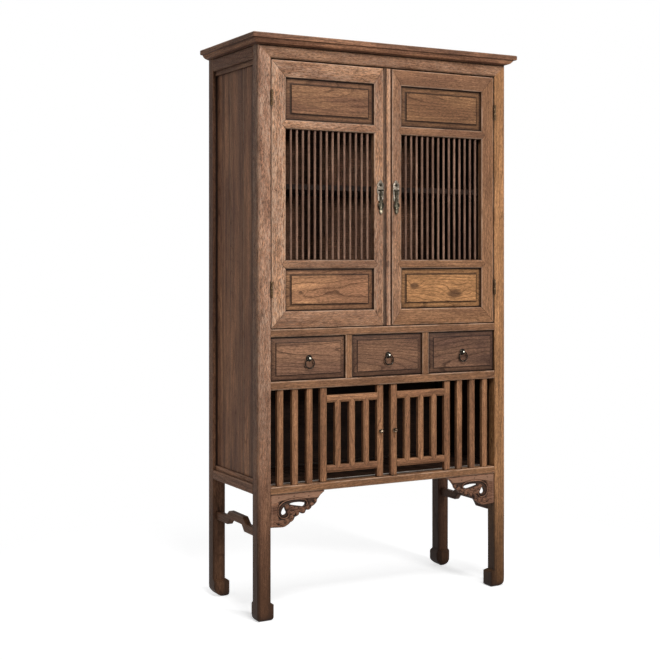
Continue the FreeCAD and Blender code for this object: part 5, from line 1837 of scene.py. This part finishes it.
@dataclass
class Studio:
    """The plain pale floor, the soft lamps and the camera at the photograph's angle."""

    image_size: int = 660
    focal_pixels: float = 1265.94
    sensor: float = 36.0
    camera_place: tuple[float, float, float] = (-2.2407, -3.8752, 1.1762)
    camera_yaw: float = math.radians(28.65)
    horizon_row: float = 257.85
    floor_tone: float = 0.86
    floor_glow: float = 0.53
    back_glow: float = 0.2
    sky_level: float = 0.24
    lamps: tuple[SoftBox, ...] = (
        SoftBox("key_lamp", (-0.55, -2.3, 3.7), (-0.3, -0.2, 1.35), (1.3, 1.0), 120, 38.5),
        SoftBox("front_lamp", (0.75, -3.4, 1.75), (0.0, -0.2, 0.7), (0.5, 0.45), 100, 16.5),
    )

    def build(self) -> None:
        """Set up the camera, the floor, the sky and the lamps."""
        self.camera()
        self.floor()
        self.sky()
        for lamp in self.lamps:
            self.hang(lamp)
        bpy.context.scene.view_settings.view_transform = "Standard"

    def camera(self) -> None:
        """Stand the camera where the photograph was taken from."""
        data = bpy.data.cameras.new("studio_camera")
        data.sensor_width = self.sensor
        data.lens = self.focal_pixels * self.sensor / self.image_size
        data.shift_y = (self.horizon_row - self.image_size / 2) / self.image_size
        camera = bpy.data.objects.new("studio_camera", data)
        camera.location = self.camera_place
        forward = Vector((math.sin(self.camera_yaw), math.cos(self.camera_yaw), 0))
        camera.rotation_mode = "QUATERNION"
        camera.rotation_quaternion = forward.to_track_quat("-Z", "Y")
        bpy.context.scene.collection.objects.link(camera)
        bpy.context.scene.camera = camera

    def floor(self) -> None:
        """A pale floor that fades into the white of the backdrop away from the cabinet, and glows more
        towards the back as painted light that hides the cabinet's shadow there.
        """
        bpy.ops.mesh.primitive_circle_add(vertices=96, radius=14, fill_type="NGON", location=(0, 0, 0))
        floor = bpy.context.object
        floor.name = "studio_floor"
        recipe = Recipe("pale_floor")
        place = recipe.here()
        distance = recipe.node("VectorMath", {0: place}, operation="LENGTH").outputs["Value"]
        mottle = recipe.noise(place, (0.9, 0.9, 0.9), 2.0)
        grey = recipe.plus(recipe.times(mottle, 0.02), self.floor_tone)
        seen = recipe.node("LightPath").outputs
        looked = recipe.maths("MAXIMUM", seen["Is Camera Ray"], seen["Is Glossy Ray"])
        looked = recipe.maths("MAXIMUM", looked, seen["Is Transmission Ray"])
        grey = recipe.times(grey, recipe.plus(recipe.times(looked, 0.65), 0.35))
        colour = recipe.grey(grey)
        rough = recipe.plus(recipe.times(mottle, 0.1), 0.72)
        feeds = {"Base Color": colour, "Roughness": rough, "Specular IOR Level": 0.2}
        paint = recipe.node("BsdfPrincipled", feeds)
        # Painted light: the floor glows more from under the cabinet backwards, hiding the cabinet's
        # shadow there.
        depth = recipe.parts(place)[1]
        glow = recipe.times(recipe.smooth(depth, -0.15, 0.45), self.back_glow)
        glow = recipe.times(recipe.plus(glow, self.floor_glow), looked)
        glow = recipe.node("Emission", {"Strength": glow})
        lit = recipe.node("AddShader", {0: paint.outputs[0], 1: glow.outputs[0]})
        light = recipe.node("Emission", {"Color": (1.0, 1.0, 1.0, 1.0), "Strength": 1.0})
        fade = recipe.times(recipe.smooth(distance, 0.7, 1.6), looked)
        both = recipe.node("MixShader", {0: fade, 1: lit.outputs[0], 2: light.outputs[0]})
        floor.data.materials.append(recipe.finish(both.outputs[0]))

    def sky(self) -> None:
        """Even light from all round, and plain white where a look goes past everything."""
        world = bpy.data.worlds.new("studio_sky")
        bpy.context.scene.world = world
        world.use_nodes = True
        tree = world.node_tree
        tree.nodes.clear()
        path = tree.nodes.new("ShaderNodeLightPath")
        seen = tree.nodes.new("ShaderNodeMath")
        seen.operation = "MAXIMUM"
        through = tree.nodes.new("ShaderNodeMath")
        through.operation = "MAXIMUM"
        light = tree.nodes.new("ShaderNodeBackground")
        light.inputs["Color"].default_value = (0.98, 0.99, 1.0, 1.0)
        light.inputs["Strength"].default_value = self.sky_level
        white = tree.nodes.new("ShaderNodeBackground")
        white.inputs["Strength"].default_value = 1.0
        white.inputs["Color"].default_value = (1.0, 1.0, 1.0, 1.0)
        mix = tree.nodes.new("ShaderNodeMixShader")
        out = tree.nodes.new("ShaderNodeOutputWorld")
        tree.links.new(path.outputs["Is Camera Ray"], seen.inputs[0])
        tree.links.new(path.outputs["Is Transmission Ray"], seen.inputs[1])
        tree.links.new(seen.outputs[0], through.inputs[0])
        tree.links.new(path.outputs["Is Glossy Ray"], through.inputs[1])
        tree.links.new(through.outputs[0], mix.inputs[0])
        tree.links.new(light.outputs[0], mix.inputs[1])
        tree.links.new(white.outputs[0], mix.inputs[2])
        tree.links.new(mix.outputs[0], out.inputs[0])

    def hang(self, box: SoftBox) -> None:
        """Hang a soft box.

        Args:
            box: Its place, aim, size and power.
        """
        data = bpy.data.lights.new(box.name, "AREA")
        data.shape = "RECTANGLE"
        data.size, data.size_y = box.size
        data.spread = math.radians(box.spread)
        data.energy = box.power
        lamp = bpy.data.objects.new(box.name, data)
        lamp.location = box.place
        aim = Vector(box.target) - Vector(box.place)
        lamp.rotation_mode = "QUATERNION"
        lamp.rotation_quaternion = aim.to_track_quat("-Z", "Y")
        bpy.context.scene.collection.objects.link(lamp)


@dataclass
class Metalwork:
    """Every brass fitting."""

    turner: Turner
    aged: bpy.types.Material
    plates: bpy.types.Material
    rings: bpy.types.Material
    hinges: bpy.types.Material
    knobs: bpy.types.Material
    drawer_names: tuple[str, ...] = ("left", "middle", "right")

    def dress_all(self) -> None:
        """Make the pulls and knobs and finish the hinges."""
        for node in ("fixed_hinge_leaves", "left_door_hinge_leaves", "right_door_hinge_leaves"):
            self.plate(node, self.hinges)
        for side in Side:
            # Painted highlight: the left pull's drop is marked brighter at its tip than the right
            # one's.
            shine = 0.5 if side is Side.LEFT else 0.1
            DoorPull(side, self.turner, self.plates, self.aged, tip_shine=shine).build()
            BarDoorKnob(side, self.turner, self.knobs).build()
        for name in self.drawer_names:
            DrawerPull(name, self.turner, self.rings).build()

    def plate(self, node: str, material: bpy.types.Material) -> None:
        """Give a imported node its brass.

        Args:
            node: The node's name.
            material: The brass it is made of.
        """
        mesh = frame["nodes"][node].data
        mesh.materials.clear()
        mesh.materials.append(material)
        log.info("%s in brass", node)


def main() -> None:
    """Dress the cabinet piece by piece and set it in the studio."""
    logging.basicConfig(level=logging.INFO, format="%(name)s: %(message)s")
    joiner = Joiner()
    finishes = {
        finish.name: finish.material()
        for finish in (
            FRONT_ELM, BAR_ELM, STRIP_ELM, PANEL_ELM, DRAWER_ELM, CARCASE_ELM, CORNICE_ELM, SIDE_ELM,
            INNER_ELM, SLAT_ELM, SPINDLE_ELM, CARVED_ELM,
        )
    }
    Woodwork(joiner, finishes).dress_all()
    for side in Side:
        piece = Spandrel(side, joiner, finishes[CARVED_ELM.name]).build()
        log.info("%s: %d faces", piece.name, len(piece.data.polygons))
    brasses = (AGED_BRASS, PLATE_BRASS, RING_BRASS, HINGE_BRASS, KNOB_BRASS)
    Metalwork(Turner(), *(finish.material() for finish in brasses)).dress_all()
    Studio().build()


if __name__ == "__main__":
    main()
